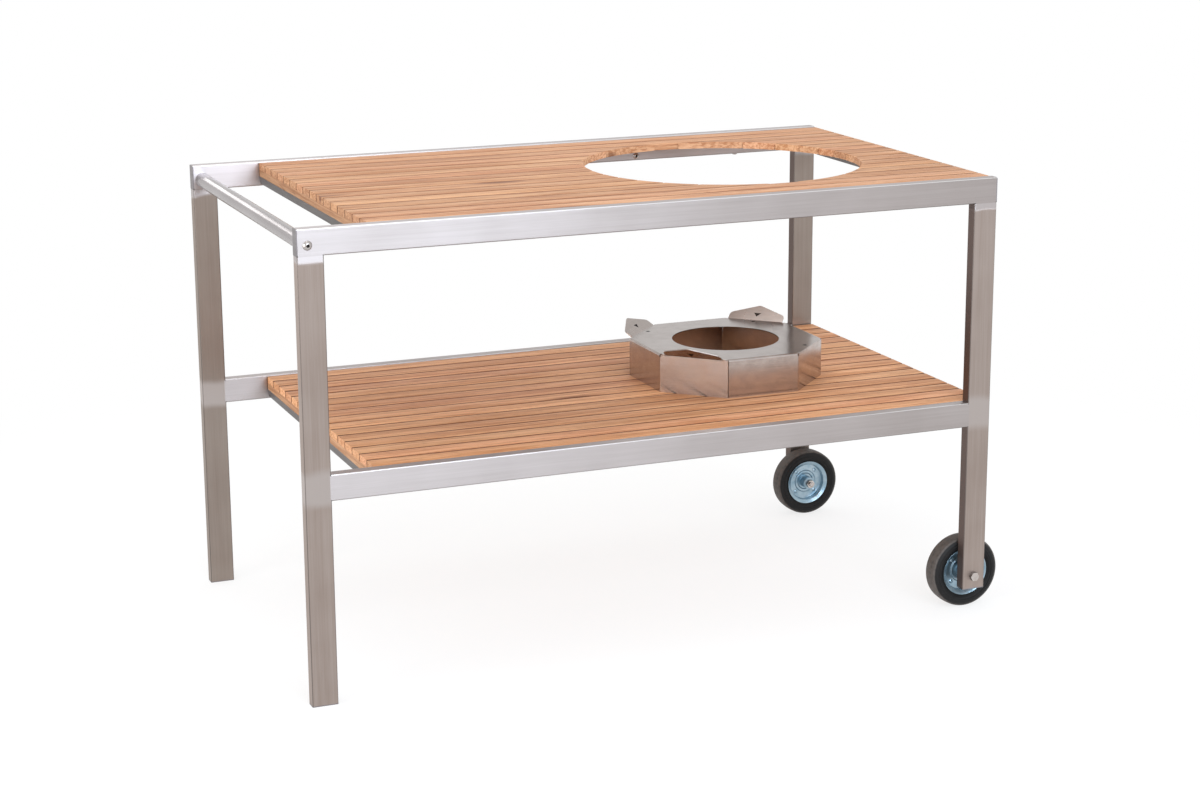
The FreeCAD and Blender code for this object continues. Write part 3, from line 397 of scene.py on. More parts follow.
def slat_tree(finish):
    """Boards side by side, with a circle sawn out of them where the cut-out has a diameter."""
    tree, add, given = open_tree("sawn_slats", {
        "Slats": 16, "Length": 1.29, "Width": 45 * MM, "Gap": 3 * MM, "Thickness": 14 * MM,
        "Eased Edge": 1.5 * MM, "First Corner": (0, 0, 0), "Cut-out Diameter": 0.0,
        "Cut-out Middle": (0, 0, 0), "Seed": 3})
    width, thick, corner, cut = (given[size] for size in (
        "Width", "Thickness", "First Corner", "Cut-out Diameter"))
    section = add("CurvePrimitiveQuadrilateral", width, thick)
    eased = add("FilletCurve", section, 3, given["Eased Edge"], mode="POLY")
    run = add("CurvePrimitiveLine", None, (given["Length"], 0, 0))
    slat = add("CurveToMesh", run, eased, named={"Fill Caps": True})
    pitch = add("Math ADD", width, given["Gap"])
    halves = [add("Math MULTIPLY", size, 0.5) for size in (width, thick)]
    first = add("VectorMath ADD", corner, (0, *halves))
    row = add("MeshLine", given["Slats"], first, (0, pitch, 0))
    whole = add("RealizeInstances", add("InstanceOnPoints", row, named={"Instance": slat}))
    looks = add("SeparateXYZ", add("InputNormal")).outputs
    sideways = add("Math ABSOLUTE", looks[1])
    steep = add("MapRange", sideways, 0.15, 0.75, **SOFTLY)
    boards = add("StoreNamedAttribute", whole, None, "flank", steep, domain="FACE")
    saw = add("MeshCylinder", 240, named={
        "Radius": add("Math MULTIPLY", cut, 0.5),
        "Depth": add("Math MULTIPLY", thick, 4)})
    aimed = add("Transform", saw, given["Cut-out Middle"])
    sawn = add("MeshBoolean DIFFERENCE", boards, aimed, solver="EXACT")
    wanted = add("Compare GREATER_THAN", cut, 0)
    deck = add("Switch", wanted, boards, sawn, input_type="GEOMETRY")
    # Each board gets a number of its own, by its place in the row, for its tone and grain.
    away = add("VectorMath SUBTRACT", add("InputPosition"), corner)
    place = add("Math DIVIDE", add("SeparateXYZ", away).outputs[1], pitch)
    number = add("FloatToInt", place, rounding_mode="FLOOR")
    draw = add("RandomValue", named={"ID": number, "Seed": given["Seed"]})
    marked = add("StoreNamedAttribute", deck, None, "board", draw, domain="FACE")
    return close_tree(tree, marked, finish)


SLATS, GAP, EASED_EDGE = 16, 3 * MM, 1.4 * MM
cutout = next(mount for mount in frame["record"]["mounts"] if mount["name"] == "grill_cutout")
CUT_MIDDLE, CUT_RADIUS = Vector((*cutout["pos_m"][:2], 0.0)), cutout["dims"]["r_mm"] * MM
slat_low, slat_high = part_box("top_slat_01")
SLAT_ENDS = ((slat_low.x + slat_high.x) / 2, (slat_high.x - slat_low.x) / 2)
worktop_teak = oiled_teak("oiled_teak_worktop", 0.0, "#d6a57d", "#a97148", "#6c3c1c",
                          sawn=(CUT_MIDDLE, CUT_RADIUS), gap_shade_strength=0.85, ends=SLAT_ENDS)
# The shelf's teak is a lighter copy of the worktop's, painted light for the shade under the worktop.
shelf_teak_lightened = oiled_teak("oiled_teak_shelf", 0.0, "#e8b184", "#b97a4b", "#6c3c1c", ends=SLAT_ENDS)
worktop_slats = [f"top_slat_{number:02d}" for number in range(1, SLATS + 1)]
for deck, names, teak, seed, cut in (("top", worktop_slats, worktop_teak, 7, 2 * CUT_RADIUS),
                                     ("shelf", ["shelf_slats"], shelf_teak_lightened, 21, 0.0)):
    lows, highs = zip(*map(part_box, names))
    low, high = Vector(map(min, zip(*lows))), Vector(map(max, zip(*highs)))
    boards = grown(f"{deck}_deck_slats", slat_tree(teak), {
        "Slats": SLATS, "Gap": GAP, "Eased Edge": EASED_EDGE, "Length": high.x - low.x,
        "Width": (high.y - low.y - (SLATS - 1) * GAP) / SLATS, "Thickness": high.z - low.z,
        "First Corner": low, "Cut-out Diameter": cut,
        "Cut-out Middle": CUT_MIDDLE + Vector((0, 0, high.z)), "Seed": seed})
    put_on(boards, "table", "teak", *names)


# Deck screws: M5 stainless button heads with hexagon sockets, four up through each cross-member.
# They are turned from bright bar and left polished.

def bright_screw_steel(name, pale, dull, roughness):
    """Turned stainless steel: bright, with faint lathe rings and small handling marks."""
    finish, add, place = new_finish(name)
    marks = add("TexNoise", place, 1 / (2.5 * MM), 3, 0.6)
    turned_face = add("Mix", marks, pale, dull, **IN_COLOUR)
    # Painted shade: the hexagon socket is painted near black, as the shade in its recess.
    socket = add("Attribute", attribute_name="socket").outputs["Fac"]
    tone = add("Mix", socket, turned_face, "#2e2926", **IN_COLOUR)
    rough = add("MapRange", marks, 0, 1, roughness - 0.05, roughness + 0.1)
    relief = add("Bump", named={"Strength": 0.1, "Distance": 0.03 * MM, "Height": marks})
    add("OutputMaterial", add("BsdfPrincipled", named={
        "Base Color": tone, "Metallic": 1, "Roughness": rough, "Normal": relief}))
    return finish


def domed_head(add, width, height, rim):
    """A dome on a short straight rim, standing on z = 0, where a ball and a bar meet."""
    radius = add("Math MULTIPLY", width, 0.5)
    rise = add("Math SUBTRACT", height, rim)
    squares = [add("Math POWER", side, 2) for side in (radius, rise)]
    twice = add("Math MULTIPLY", rise, 2)
    ball_radius = add("Math DIVIDE", add("Math ADD", *squares), twice)
    drop = add("Math SUBTRACT", height, ball_radius)
    ball = add("MeshUVSphere", 32, 28, ball_radius)
    lowered = add("Transform", ball, (0, 0, drop))
    half = add("Math MULTIPLY", height, 0.5)
    bar = add("MeshCylinder", 32, named={"Radius": radius, "Depth": height})
    stood = add("Transform", bar, (0, 0, half))
    return add("MeshBoolean INTERSECT", [lowered, stood], solver="EXACT")


def set_on_points(add, points, shape):
    """The shape on every point, with its top along the point's aim."""
    aim = add("InputNamedAttribute", "aim", data_type="FLOAT_VECTOR")
    pointed = add("AlignRotationToVector", None, None, aim, axis="Z")
    return add("InstanceOnPoints", points, named={"Instance": shape, "Rotation": pointed})


def screw_tree(finish):
    """Button-head screws on the given points, each pointing its head along the point's aim."""
    tree, add, given = open_tree("button_head_screws", {
        "Head Width": 10 * MM, "Head Height": 2.8 * MM, "Rim": 0.8 * MM, "Key Width": 3 * MM,
        "Key Depth": 1.3 * MM, "Shank Width": 5 * MM, "Shank Length": 20 * MM})
    head = domed_head(add, given["Head Width"], given["Head Height"], given["Rim"])
    key = add("MeshCylinder", 6, named={
        "Radius": add("Math DIVIDE", given["Key Width"], math.sqrt(3)),
        "Depth": add("Math MULTIPLY", given["Key Depth"], 2)})
    # The socket's faces are marked for the painted shade.
    painted_key_shade = add("StoreNamedAttribute", key, None, "socket", 1, domain="FACE")
    raised = add("Transform", painted_key_shade, (0, 0, given["Head Height"]))
    keyed = add("MeshBoolean DIFFERENCE", head, raised, solver="EXACT")
    shank = add("MeshCylinder", 16, named={
        "Radius": add("Math MULTIPLY", given["Shank Width"], 0.5),
        "Depth": given["Shank Length"]})
    middle = add("Math MULTIPLY", given["Shank Length"], -0.5)
    hung = add("Transform", shank, (0, 0, middle))
    screw = add("JoinGeometry", [keyed, hung])
    return close_tree(tree, set_on_points(add, given["Geometry"], screw), finish)


screw_steel = bright_screw_steel("bright_stainless_screw", "#c9c4c2", "#a8a09c", 0.25)
screws = screw_tree(screw_steel)


def drive_screws(name, node, places, sizes):
    """Screws of one kind: their sizes in mm, and for each its place and the way that its head points."""
    labels = ("Head Width", "Head Height", "Key Width", "Key Depth", "Shank Width", "Shank Length")
    driven = grown(name, screws, {label: size * MM for label, size in zip(labels, sizes)},
                   turned_points(f"{name}_places", places))
    put_on(driven, "table", "screw_steel", node)


SCREW_INSET, SCREWS_IN_ROW = 55 * MM, 4
under_deck = []
for low, high in map(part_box, cross_members):
    first, last = low.y + SCREW_INSET, high.y - SCREW_INSET
    for number in range(SCREWS_IN_ROW):
        along = first + (last - first) * number / (SCREWS_IN_ROW - 1)
        under_deck.append((((low.x + high.x) / 2, along, low.z), (0, 0, -1)))
drive_screws("deck_screw_heads", "deck_screws", under_deck, (10, 2.8, 3, 1.3, 5, 27))


# Handle: a round stainless bar, 30 mm, between the top rails, with a threaded plug in each end.
# An M10 button-head screw through the rail holds it; two smaller screws on the back rail take hooks.

def both_sides(front, back, x, z, outward=1):
    """A place on the front and one on the back, each with the way out of the table, or into it."""
    return [((x, front, z), (0, -outward, 0)), ((x, back, z), (0, outward, 0))]


handle_steel = belt_ground("satin_stainless_handle", ALONG_Y, "#a8a2a2", "#948e8e", 0.22, 0.12, 0.1,
                           rounds=0)
dress(handle_steel, "handle_bar")
dress(screw_steel, "handle_plugs")
low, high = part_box("handle_bar")
front_face, back_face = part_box("top_rail_front")[0].y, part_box("top_rail_back")[1].y
drive_screws("handle_screw_pair", "handle_screws",
             both_sides(front_face, back_face, (low.x + high.x) / 2, (low.z + high.z) / 2),
             (17.5, 5.5, 6, 4, 10, 47))

HOOK_HEAD, HOOK_LEVEL = 14, 10
(low, high), (rail_low, rail_high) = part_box("hook_screws"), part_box("top_rail_back")
facing_in = ((low.x + HOOK_HEAD / 2 * MM, rail_low.y, rail_low.z + HOOK_LEVEL * MM), (0, -1, 0))
facing_down = ((high.x - HOOK_HEAD / 2 * MM, (rail_low.y + rail_high.y) / 2, rail_low.z), (0, 0, -1))
drive_screws("hook_screw_pair", "hook_screws", [facing_in, facing_down], (HOOK_HEAD, 4.4, 5, 2.9, 8, 14))


# Tyres: solid black rubber, 150 mm, moulded with a raised ring on each side.
# The running face is scuffed to a brownish grey; each tyre is pressed on its rim.

AXLE = {joint["child"].removesuffix("_wheel"): Vector(joint["pos_m"])
        for joint in frame["joints"] if joint["child"].endswith("_wheel")}


def eased_outline(corners, steps=5):
    """An outline of (radius, along, ease) corners in mm, with an arc of each corner's ease radius."""
    points = []
    for number, (radius, along, ease) in enumerate(corners):
        here = Vector((radius, along))
        back = Vector(corners[number - 1][:2]) - here
        ahead = Vector(corners[(number + 1) % len(corners)][:2]) - here
        if ease == 0:
            points.append(here)
            continue
        half = back.angle(ahead) / 2
        reach = min(ease / math.tan(half), back.length * 0.49, ahead.length * 0.49)
        start, end = here + back.normalized() * reach, here + ahead.normalized() * reach
        for i in range(steps + 1):
            t = i / steps
            points.append(start * (1 - t) ** 2 + here * 2 * t * (1 - t) + end * t ** 2)
    return points


def as_piece(name, mesh, finish):
    """A bmesh as an object of the scene, with its finish."""
    data = bpy.data.meshes.new(name)
    mesh.to_mesh(data)
    mesh.free()
    data.materials.append(finish)
    piece = bpy.data.objects.new(name, data)
    bpy.context.scene.collection.objects.link(piece)
    return piece


def turned(name, corners, middle, finish, facing=1, turns=120, steps=5):
    """Turns a closed outline round the axle, which lies along Y through the middle given."""
    points = eased_outline(corners, steps)
    mesh = bmesh.new()
    rings = []
    for i in range(turns):
        angle = 2 * math.pi * i / turns
        rings.append([mesh.verts.new((middle.x + p.x * MM * math.cos(angle), middle.y + facing * p.y * MM,
                                      middle.z + p.x * MM * math.sin(angle))) for p in points])
    for one, two in zip(rings, rings[1:] + rings[:1]):
        for j in range(len(points)):
            k = (j + 1) % len(points)
            mesh.faces.new((one[j], one[k], two[k], two[j]))
    bmesh.ops.remove_doubles(mesh, verts=mesh.verts, dist=0.001 * MM)
    bmesh.ops.recalc_face_normals(mesh, faces=mesh.faces)
    return soften(as_piece(name, mesh, finish))


def moulded_rubber(name, middle):
    """Moulded solid rubber: matt black with a bloom of dust, scuffed grey-brown where it runs."""
    finish, add, place = new_finish(name)
    centred = add("Mapping", place, tuple(-middle))
    spot = add("SeparateXYZ", centred).outputs
    out = add("VectorMath LENGTH", (spot[0], spot[2], 0))
    dust = add("TexNoise", centred, 1 / (9 * MM), 5, 0.65)
    bloom = add("MapRange", dust, 0.35, 0.75, 0, 0.6)
    black = add("Mix", bloom, "#151414", "#232222", **IN_COLOUR)
    worn = add("MapRange", out, 69.5 * MM, 72.5 * MM, **SOFTLY)
    scuff = add("MapRange", add("Math MULTIPLY", worn, dust), 0.1, 0.55)
    tone = add("Mix", scuff, black, "#544e4a", **IN_COLOUR)
    # The mould was turned on a lathe, which leaves rings about 0.7 mm apart.
    rings = add("Math MULTIPLY", out, 2 * math.pi / (0.7 * MM))
    ripple = add("Math SINE", rings)
    height = add("Math MULTIPLY_ADD", ripple, 0.12, dust)
    relief = add("Bump", named={"Strength": 0.4, "Distance": 0.15 * MM, "Height": height})
    rough = add("MapRange", dust, 0, 1, 0.42, 0.7)
    add("OutputMaterial", add("BsdfPrincipled", named={
        "Base Color": tone, "Roughness": rough, "IOR": 1.52, "Specular IOR Level": 0.2, "Normal": relief}))
    return finish


TYRE_SIDE = (
    (43.1, 11.8, 0), (50, 15.8, 0), (51.5, 15.8, 0.8), (57, 20.8, 3), (59.5, 20.8, 0.3), (59.9, 22, 0.5),
    (62.1, 22, 0.5), (62.5, 20.8, 0.3), (66.5, 20.6, 3.5), (74.2, 15, 2), (75, 4, 20))
tyre_outline = TYRE_SIDE + tuple((radius, -along, ease) for radius, along, ease in reversed(TYRE_SIDE))
for side, middle in AXLE.items():
    rubber = moulded_rubber(f"moulded_rubber_{side}", middle)
    put_on(turned(f"{side}_tyre", tyre_outline, middle, rubber, turns=144),
           f"{side}_wheel", "tyre_rubber", f"{side}_wheel_tyre")


# Rims: two dishes pressed from 1.5 mm steel, riveted back to back and zinc plated.
# Each has a rolled lip, a flare, a flat web and a raised bead round the hub tube.

def zinc_plate(name, pale, blue, roughness, flanks=0.0):
    """Bright zinc plate with its blue passivation: cool and shiny, slightly cloudy.
    The sides of a bolt head, nut or shank, which do not look along the axle, can be darkened as painted shade."""
    finish, add, place = new_finish(name)
    cloud = add("TexNoise", place, 1 / (14 * MM), 4, 0.6)
    speckle = add("TexNoise", place, 1 / (1.2 * MM), 2, 0.5)
    drift = add("MapRange", cloud, 0.3, 0.7)
    tone = add("Mix", drift, pale, blue, **IN_COLOUR)
    if flanks:
        looks = add("SeparateXYZ", add("NewGeometry").outputs["Normal"]).outputs
        across = add("Math ABSOLUTE", looks[1])
        painted_side_shade = add("MapRange", across, 0.45, 0.8, flanks, 0, **SOFTLY)
        tone = add("Mix", painted_side_shade, tone, "#4d4947", **IN_COLOUR)
    rough = add("MapRange", speckle, 0, 1, roughness - 0.06, roughness + 0.12)
    relief = add("Bump", named={"Strength": 0.15, "Distance": 0.08 * MM, "Height": speckle})
    add("OutputMaterial", add("BsdfPrincipled", named={
        "Base Color": tone, "Metallic": 1, "Roughness": rough, "Normal": relief}))
    return finish


RIM_OUTLINE = (
    (14.1, 0, 0), (18, 0, 1), (20, 2.5, 1.2), (24, 2.5, 1.2), (26, 0, 1), (43, 0, 0.4), (43, 12, 2.5),
    (50, 16, 0.3), (50, 17.5, 0.7), (46.6, 15.5, 3.5), (41.5, 12.6, 3.5), (41.5, 1.5, 1.8), (26.3, 1.5, 1),
    (24.3, 4, 1.2), (19.7, 4, 1.2), (17.7, 1.5, 1), (14.1, 1.5, 0))
zinc = zinc_plate("blue_passivated_zinc_plate", "#aebfc9", "#86a2b2", 0.3)
for side, outward in (("front", -1), ("back", 1)):
    for half, facing in (("outer", outward), ("inner", -outward)):
        rim = turned(f"{side}_rim_{half}_half", RIM_OUTLINE, AXLE[side], zinc, facing)
        put_on(rim, f"{side}_wheel", "zinc_plated_steel", f"{side}_wheel_rim_{half}")


# Rivets: four in each rim, set from both sides, plated with the rim.
# They stand half a step off the axle's own level.

def rivet_tree(finish):
    """Double-headed rivets in a circle round an axle that lies along Y."""
    tree, add, given = open_tree("ring_of_rivets", {
        "Rivets": 4, "Circle Diameter": 66 * MM, "Head Width": 9 * MM, "Dome": 2 * MM,
        "Shank Width": 5 * MM, "Grip": 3 * MM, "Wheel Middle": (0, 0, 0)})
    rim = add("Math MULTIPLY", given["Dome"], 0.15)
    dome = domed_head(add, given["Head Width"], given["Dome"], rim)
    half_grip = add("Math MULTIPLY", given["Grip"], 0.5)
    upper = add("Transform", dome, (0, 0, half_grip))
    lower = add("Transform", upper, None, (math.pi, 0, 0))
    radius = add("Math MULTIPLY", given["Shank Width"], 0.5)
    shank = add("MeshCylinder", 24, named={"Radius": radius, "Depth": given["Grip"]})
    rivet = add("JoinGeometry", [upper, lower, shank])
    half_circle = add("Math MULTIPLY", given["Circle Diameter"], 0.5)
    circle = add("MeshCircle", given["Rivets"], half_circle)
    set_in = add("InstanceOnPoints", circle, named={"Instance": rivet})
    half_step = add("Math DIVIDE", math.pi, given["Rivets"])
    spun = add("Transform", set_in, None, (0, 0, half_step))
    tipped = add("Transform", spun, given["Wheel Middle"], (-math.pi / 2, 0, 0))
    return close_tree(tree, tipped, finish)


rivets = rivet_tree(zinc)
for side, middle in AXLE.items():
    put_on(grown(f"{side}_rim_rivets", rivets, {"Wheel Middle": middle}),
           f"{side}_wheel", "zinc_plated_steel", f"{side}_wheel_rivets")


# Hubs: a plated tube pressed through both dishes, with a nylon bush inside.
# The bush turns on a sleeve, clamped by the axle bolt between two washers.

def ring_outline(bore, outside, half, bore_ease, outer_ease):
    """The outline of a plain ring, from its two radii and half its length in mm."""
    return ((bore, -half, bore_ease), (outside, -half, outer_ease), (outside, half, outer_ease),
            (bore, half, bore_ease))


def moulded_nylon(name):
    """Moulded nylon: milky white, waxy, darkened a little by running."""
    finish, add, place = new_finish(name)
    smudge = add("TexNoise", place, 1 / (5 * MM), 3, 0.6)
    tone = add("Mix", smudge, "#d9d4c8", "#bdb5a5", **IN_COLOUR)
    rough = add("MapRange", smudge, 0, 1, 0.35, 0.55)
    add("OutputMaterial", add("BsdfPrincipled", named={
        "Base Color": tone, "Roughness": rough, "IOR": 1.53, "Subsurface Weight": 0.1,
        "Subsurface Scale": 1.5 * MM}))
    return finish


def joined(name, pieces):
    """Several finished pieces as one mesh."""
    mesh = bmesh.new()
    for piece in pieces:
        mesh.from_mesh(piece.data)
    whole = as_piece(name, mesh, pieces[0].data.materials[0])
    for piece in pieces:
        bpy.data.objects.remove(piece)
    return soften(whole)


HUB_OUTLINE, BUSH_OUTLINE = ring_outline(11.1, 14, 23.5, 0.3, 0.8), ring_outline(7.58, 11, 23.5, 0.4, 0.3)
SLEEVE_OUTLINE, WASHER_OUTLINE = ring_outline(5.4, 7.5, 24, 0.3, 0.3), ring_outline(5.4, 13.5, 1, 0.2, 0.5)
WASHER_OUT = Vector((0, 25 * MM, 0))
nylon = moulded_nylon("moulded_nylon_bush")
sleeves, washers = [], []
for side, middle in AXLE.items():
    hub = turned(f"{side}_hub_tube", HUB_OUTLINE, middle, zinc, turns=72, steps=2)
    put_on(hub, f"{side}_wheel", "zinc_plated_steel", f"{side}_wheel_hub")
    bush = turned(f"{side}_nylon_bush", BUSH_OUTLINE, middle, nylon, turns=72, steps=2)
    put_on(bush, f"{side}_wheel", "bush_plastic", f"{side}_wheel_bush")
    sleeves.append(turned(f"{side}_sleeve", SLEEVE_OUTLINE, middle, zinc, turns=48, steps=2))
    for way in (-1, 1):
        washers.append(turned(f"{side}_washer_{way}", WASHER_OUTLINE, middle + way * WASHER_OUT, zinc,
                              turns=64, steps=2))
put_on(joined("axle_sleeve_pair", sleeves), "table", "zinc_plated_steel", "axle_sleeves")
put_on(joined("axle_washer_set", washers), "table", "zinc_plated_steel", "axle_washers")


# Axle bolts and nuts: M10 hexagon bolts through the legs, each locked by a nut inboard of its wheel.
# The heads and nuts have chamfered corners, and the bolt ends show their thread.

def hex_tree(finish):
    """Hexagon head or nut with turned chamfers, standing on z = 0 and pointing along each aim."""
    tree, add, given = open_tree("chamfered_hexagons", {
        "Flats": 17 * MM, "Height": 7 * MM, "Chamfer Ball": 13.5 * MM, "Bore": 0.0})
    height, bore = given["Height"], given["Bore"]
    radius = add("Math DIVIDE", given["Flats"], math.sqrt(3))
    prism = add("MeshCylinder", 6, named={"Radius": radius, "Depth": height})
    ball = add("MeshUVSphere", 48, 32, given["Chamfer Ball"])
    cut = add("MeshBoolean INTERSECT", [prism, ball], solver="EXACT")
    drill = add("MeshCylinder", 32, named={
        "Radius": add("Math MULTIPLY", bore, 0.5),
        "Depth": add("Math MULTIPLY", height, 2)})
    bored = add("MeshBoolean DIFFERENCE", cut, drill, solver="EXACT")
    wanted = add("Compare GREATER_THAN", bore, 0)
    piece = add("Switch", wanted, cut, bored, input_type="GEOMETRY")
    half = add("Math MULTIPLY", height, 0.5)
    stood = add("Transform", piece, (0, 0, half))
    return close_tree(tree, set_on_points(add, given["Geometry"], stood), finish)


def thread_tree(finish):
    """A ridge that winds round a bolt's end, over the length given, along each aim."""
    tree, add, given = open_tree("rolled_thread", {"Width": 10 * MM, "Pitch": 1.5 * MM, "Length": 6 * MM})
    turns = add("Math DIVIDE", given["Length"], given["Pitch"])
    tooth_size = add("Math MULTIPLY", given["Pitch"], 0.4)
    half_width = add("Math MULTIPLY", given["Width"], 0.5)
    coil_radius = add("Math SUBTRACT", half_width, tooth_size)
    coil = add("CurveSpiral", 24, turns, coil_radius, coil_radius, given["Length"])
    tooth = add("CurvePrimitiveCircle", 6, tooth_size)
    ridge = add("CurveToMesh", coil, tooth, named={"Fill Caps": True})
    return close_tree(tree, set_on_points(add, given["Geometry"], ridge), finish)


HEAD_HEIGHT, NUT_HEIGHT, NUT_BORE, THREAD_SHOWN = 7 * MM, 8 * MM, 10.2 * MM, 5.5 * MM
HEAD_BALL, NUT_BALL = 9.9 * MM, 10.1 * MM
SHANK_OUTLINE = ((0, 0, 0), (4.99, 0, 0), (4.99, 83, 0), (4.4, 83.6, 0), (4.4, 90, 0.6), (0, 90, 0))
bolt_zinc = zinc_plate("bright_zinc_bolt", "#d3cdc9", "#b3aaa4", 0.16, flanks=0.8)
hexagons = hex_tree(bolt_zinc)
axle_x, axle_z = AXLE["front"].x, AXLE["front"].z
front_leg, back_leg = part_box("leg_front_right")[0].y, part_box("leg_back_right")[1].y
front_nut, back_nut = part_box("axle_nuts")[0].y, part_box("axle_nuts")[1].y
heads = grown("bolt_head_pair", hexagons, {"Height": HEAD_HEIGHT, "Chamfer Ball": HEAD_BALL},
              turned_points("bolt_head_places", both_sides(front_leg, back_leg, axle_x, axle_z)))
shanks = [turned(f"{side}_bolt_shank", SHANK_OUTLINE, Vector((axle_x, face, axle_z)), bolt_zinc, inward,
                 turns=40, steps=3)
          for side, face, inward in (("front", front_leg, 1), ("back", back_leg, -1))]
thread = grown("bolt_thread_pair", thread_tree(bolt_zinc), {"Length": THREAD_SHOWN}, turned_points(
    "thread_places", both_sides(front_nut + NUT_HEIGHT, back_nut - NUT_HEIGHT, axle_x, axle_z, outward=-1)))
put_on(joined("axle_bolt_pair", [heads, thread, *shanks]), "table", "zinc_plated_steel", "axle_bolts")
put_on(grown("axle_nut_pair", hexagons, {"Height": NUT_HEIGHT, "Chamfer Ball": NUT_BALL, "Bore": NUT_BORE},
             turned_points("nut_places", both_sides(front_nut, back_nut, axle_x, axle_z, outward=-1))),
       "table", "zinc_plated_steel", "axle_nuts")


# Grill stand: one 2 mm stainless sheet, folded down on four sides, each side wrapped round one corner.
# Three tabs are folded up on the diagonals to hold the foot of the grill; a press leaves it satin.

STAND_LOW, STAND_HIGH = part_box("stand_shell")
STAND_MIDDLE = (STAND_LOW + STAND_HIGH) / 2
# From here on the stand's sizes are in mm. A facet is the flat across a corner of the square.
STAND_HALF, STAND_HEIGHT, SHEET, CORNER_CUT = 186.0, 80.0, 2.0, 106.5
SIDE_HALF = STAND_HALF - CORNER_CUT
FACET_OUT = (STAND_HALF + SIDE_HALF) / math.sqrt(2)
FACET_HALF = (STAND_HALF - SIDE_HALF) / math.sqrt(2)
TOP_BEND, CORNER_BEND, TAB_BEND, SEAM = 4.0, 5.0, 2.0, 1.25
# Each bend runs on straight for a moment, and the relief cuts beside it leave these steps.
STRAIGHT, SEAM_STEP, WRAP_STEP, NOTCH, RELIEF = 0.3, 0.5, 2.4, 6.5, 1.2
SHOULDER, SKIRT = STAND_HEIGHT - TOP_BEND, 2.0
TAB_HALF, TAB_SLOPE, TAB_FACETS, TAB_TURN, TAB_FOOT = 62.0, math.radians(34), (45, 135, 225), 1.22, 1.526
TAB_SHOULDER, TAB_TIP, TAB_ROUND = 20, 46, 12
OPENING_RADIUS, DRAIN_IN, DRAIN_RADIUS, PUNCHED_RADIUS = 112.5, 12, 3, 5.2
SIDES = (0, 90, 180, 270)


def arc(middle, radius, first, last, steps):
    """Points round a bend, as pairs of sizes in mm."""
    turns = [math.radians(first + (last - first) * i / steps) for i in range(steps + 1)]
    return [(middle[0] + radius * math.cos(turn), middle[1] + radius * math.sin(turn)) for turn in turns]


class FoldedSheet:
    """The stand's outer face, laid out side by side; a side is given by the angle that it looks to."""

    def __init__(self):
        self.mesh = bmesh.new()
        self.spots = {}
        self.painted_hole_shade = self.mesh.faces.layers.float.new("painted_hole_shade")

    def spot(self, side, out, along, height):
        """The corner at a place on a side; the same place always gives the same corner."""
        turn = math.radians(side)
        x = out * math.cos(turn) - along * math.sin(turn)
        y = out * math.sin(turn) + along * math.cos(turn)
        key = (round(x, 2), round(y, 2), round(height, 2))
        if key not in self.spots:
            place = (STAND_MIDDLE.x + x * MM, STAND_MIDDLE.y + y * MM, STAND_LOW.z + height * MM)
            self.spots[key] = self.mesh.verts.new(place)
        return self.spots[key]

    def strip(self, rows, painted_hole_shade=0.0):
        """Faces between rows of spots."""
        for one, two in zip(rows, rows[1:]):
            for i in range(len(one) - 1):
                self.mesh.faces.new((one[i], one[i + 1], two[i + 1], two[i]))[self.painted_hole_shade] = painted_hole_shade

    def sheet(self, *loops):
        """A flat face with its first loop as the outline and the others as holes."""
        edges = []
        for loop in loops:
            for one, two in zip(loop, loop[1:] + loop[:1]):
                edges.append(self.mesh.edges.get((one, two)) or self.mesh.edges.new((one, two)))
        bmesh.ops.triangle_fill(self.mesh, use_beauty=True, use_dissolve=False, edges=edges)


def lay_plate(stand):
    """The octagonal top plate with its opening, small holes and relief cuts beside the folds."""
    outline, drains = [], []
    fold, tab_fold = STAND_HALF - TOP_BEND - STRAIGHT, FACET_OUT - TAB_TURN - STRAIGHT
    notch = FACET_HALF - NOTCH
    for side in SIDES:
        facet = side + 45
        outline += [stand.spot(side, fold, -SIDE_HALF + SEAM_STEP, STAND_HEIGHT),
                    stand.spot(side, fold, SIDE_HALF - WRAP_STEP, STAND_HEIGHT),
                    stand.spot(facet, FACET_OUT, -notch, STAND_HEIGHT)]
        if facet in TAB_FACETS:
            cut = [(FACET_OUT, TAB_HALF + RELIEF), (tab_fold - 2, TAB_HALF + RELIEF),
                   (tab_fold - 2, TAB_HALF), (tab_fold, TAB_HALF)]
            outline += [stand.spot(facet, out, -along, STAND_HEIGHT) for out, along in cut]
            outline += [stand.spot(facet, out, along, STAND_HEIGHT) for out, along in reversed(cut)]
        outline.append(stand.spot(facet, FACET_OUT, notch, STAND_HEIGHT))
    opening = [stand.spot(0, *point, STAND_HEIGHT) for point in arc((0, 0), OPENING_RADIUS, 0, 357.5, 143)]
    for side in SIDES:
        # Painted shade: a dark rim, two millimetres wide, round each hole.
        rings = [[stand.spot(side + 45, *point, STAND_HEIGHT)
                  for point in arc((FACET_OUT - DRAIN_IN, 0), radius, 0, 345, 23)]
                 for radius in (DRAIN_RADIUS, PUNCHED_RADIUS)]
        stand.strip([ring + ring[:1] for ring in rings], 1.0)
        drains.append(rings[1])
    stand.sheet(outline, opening, *drains)


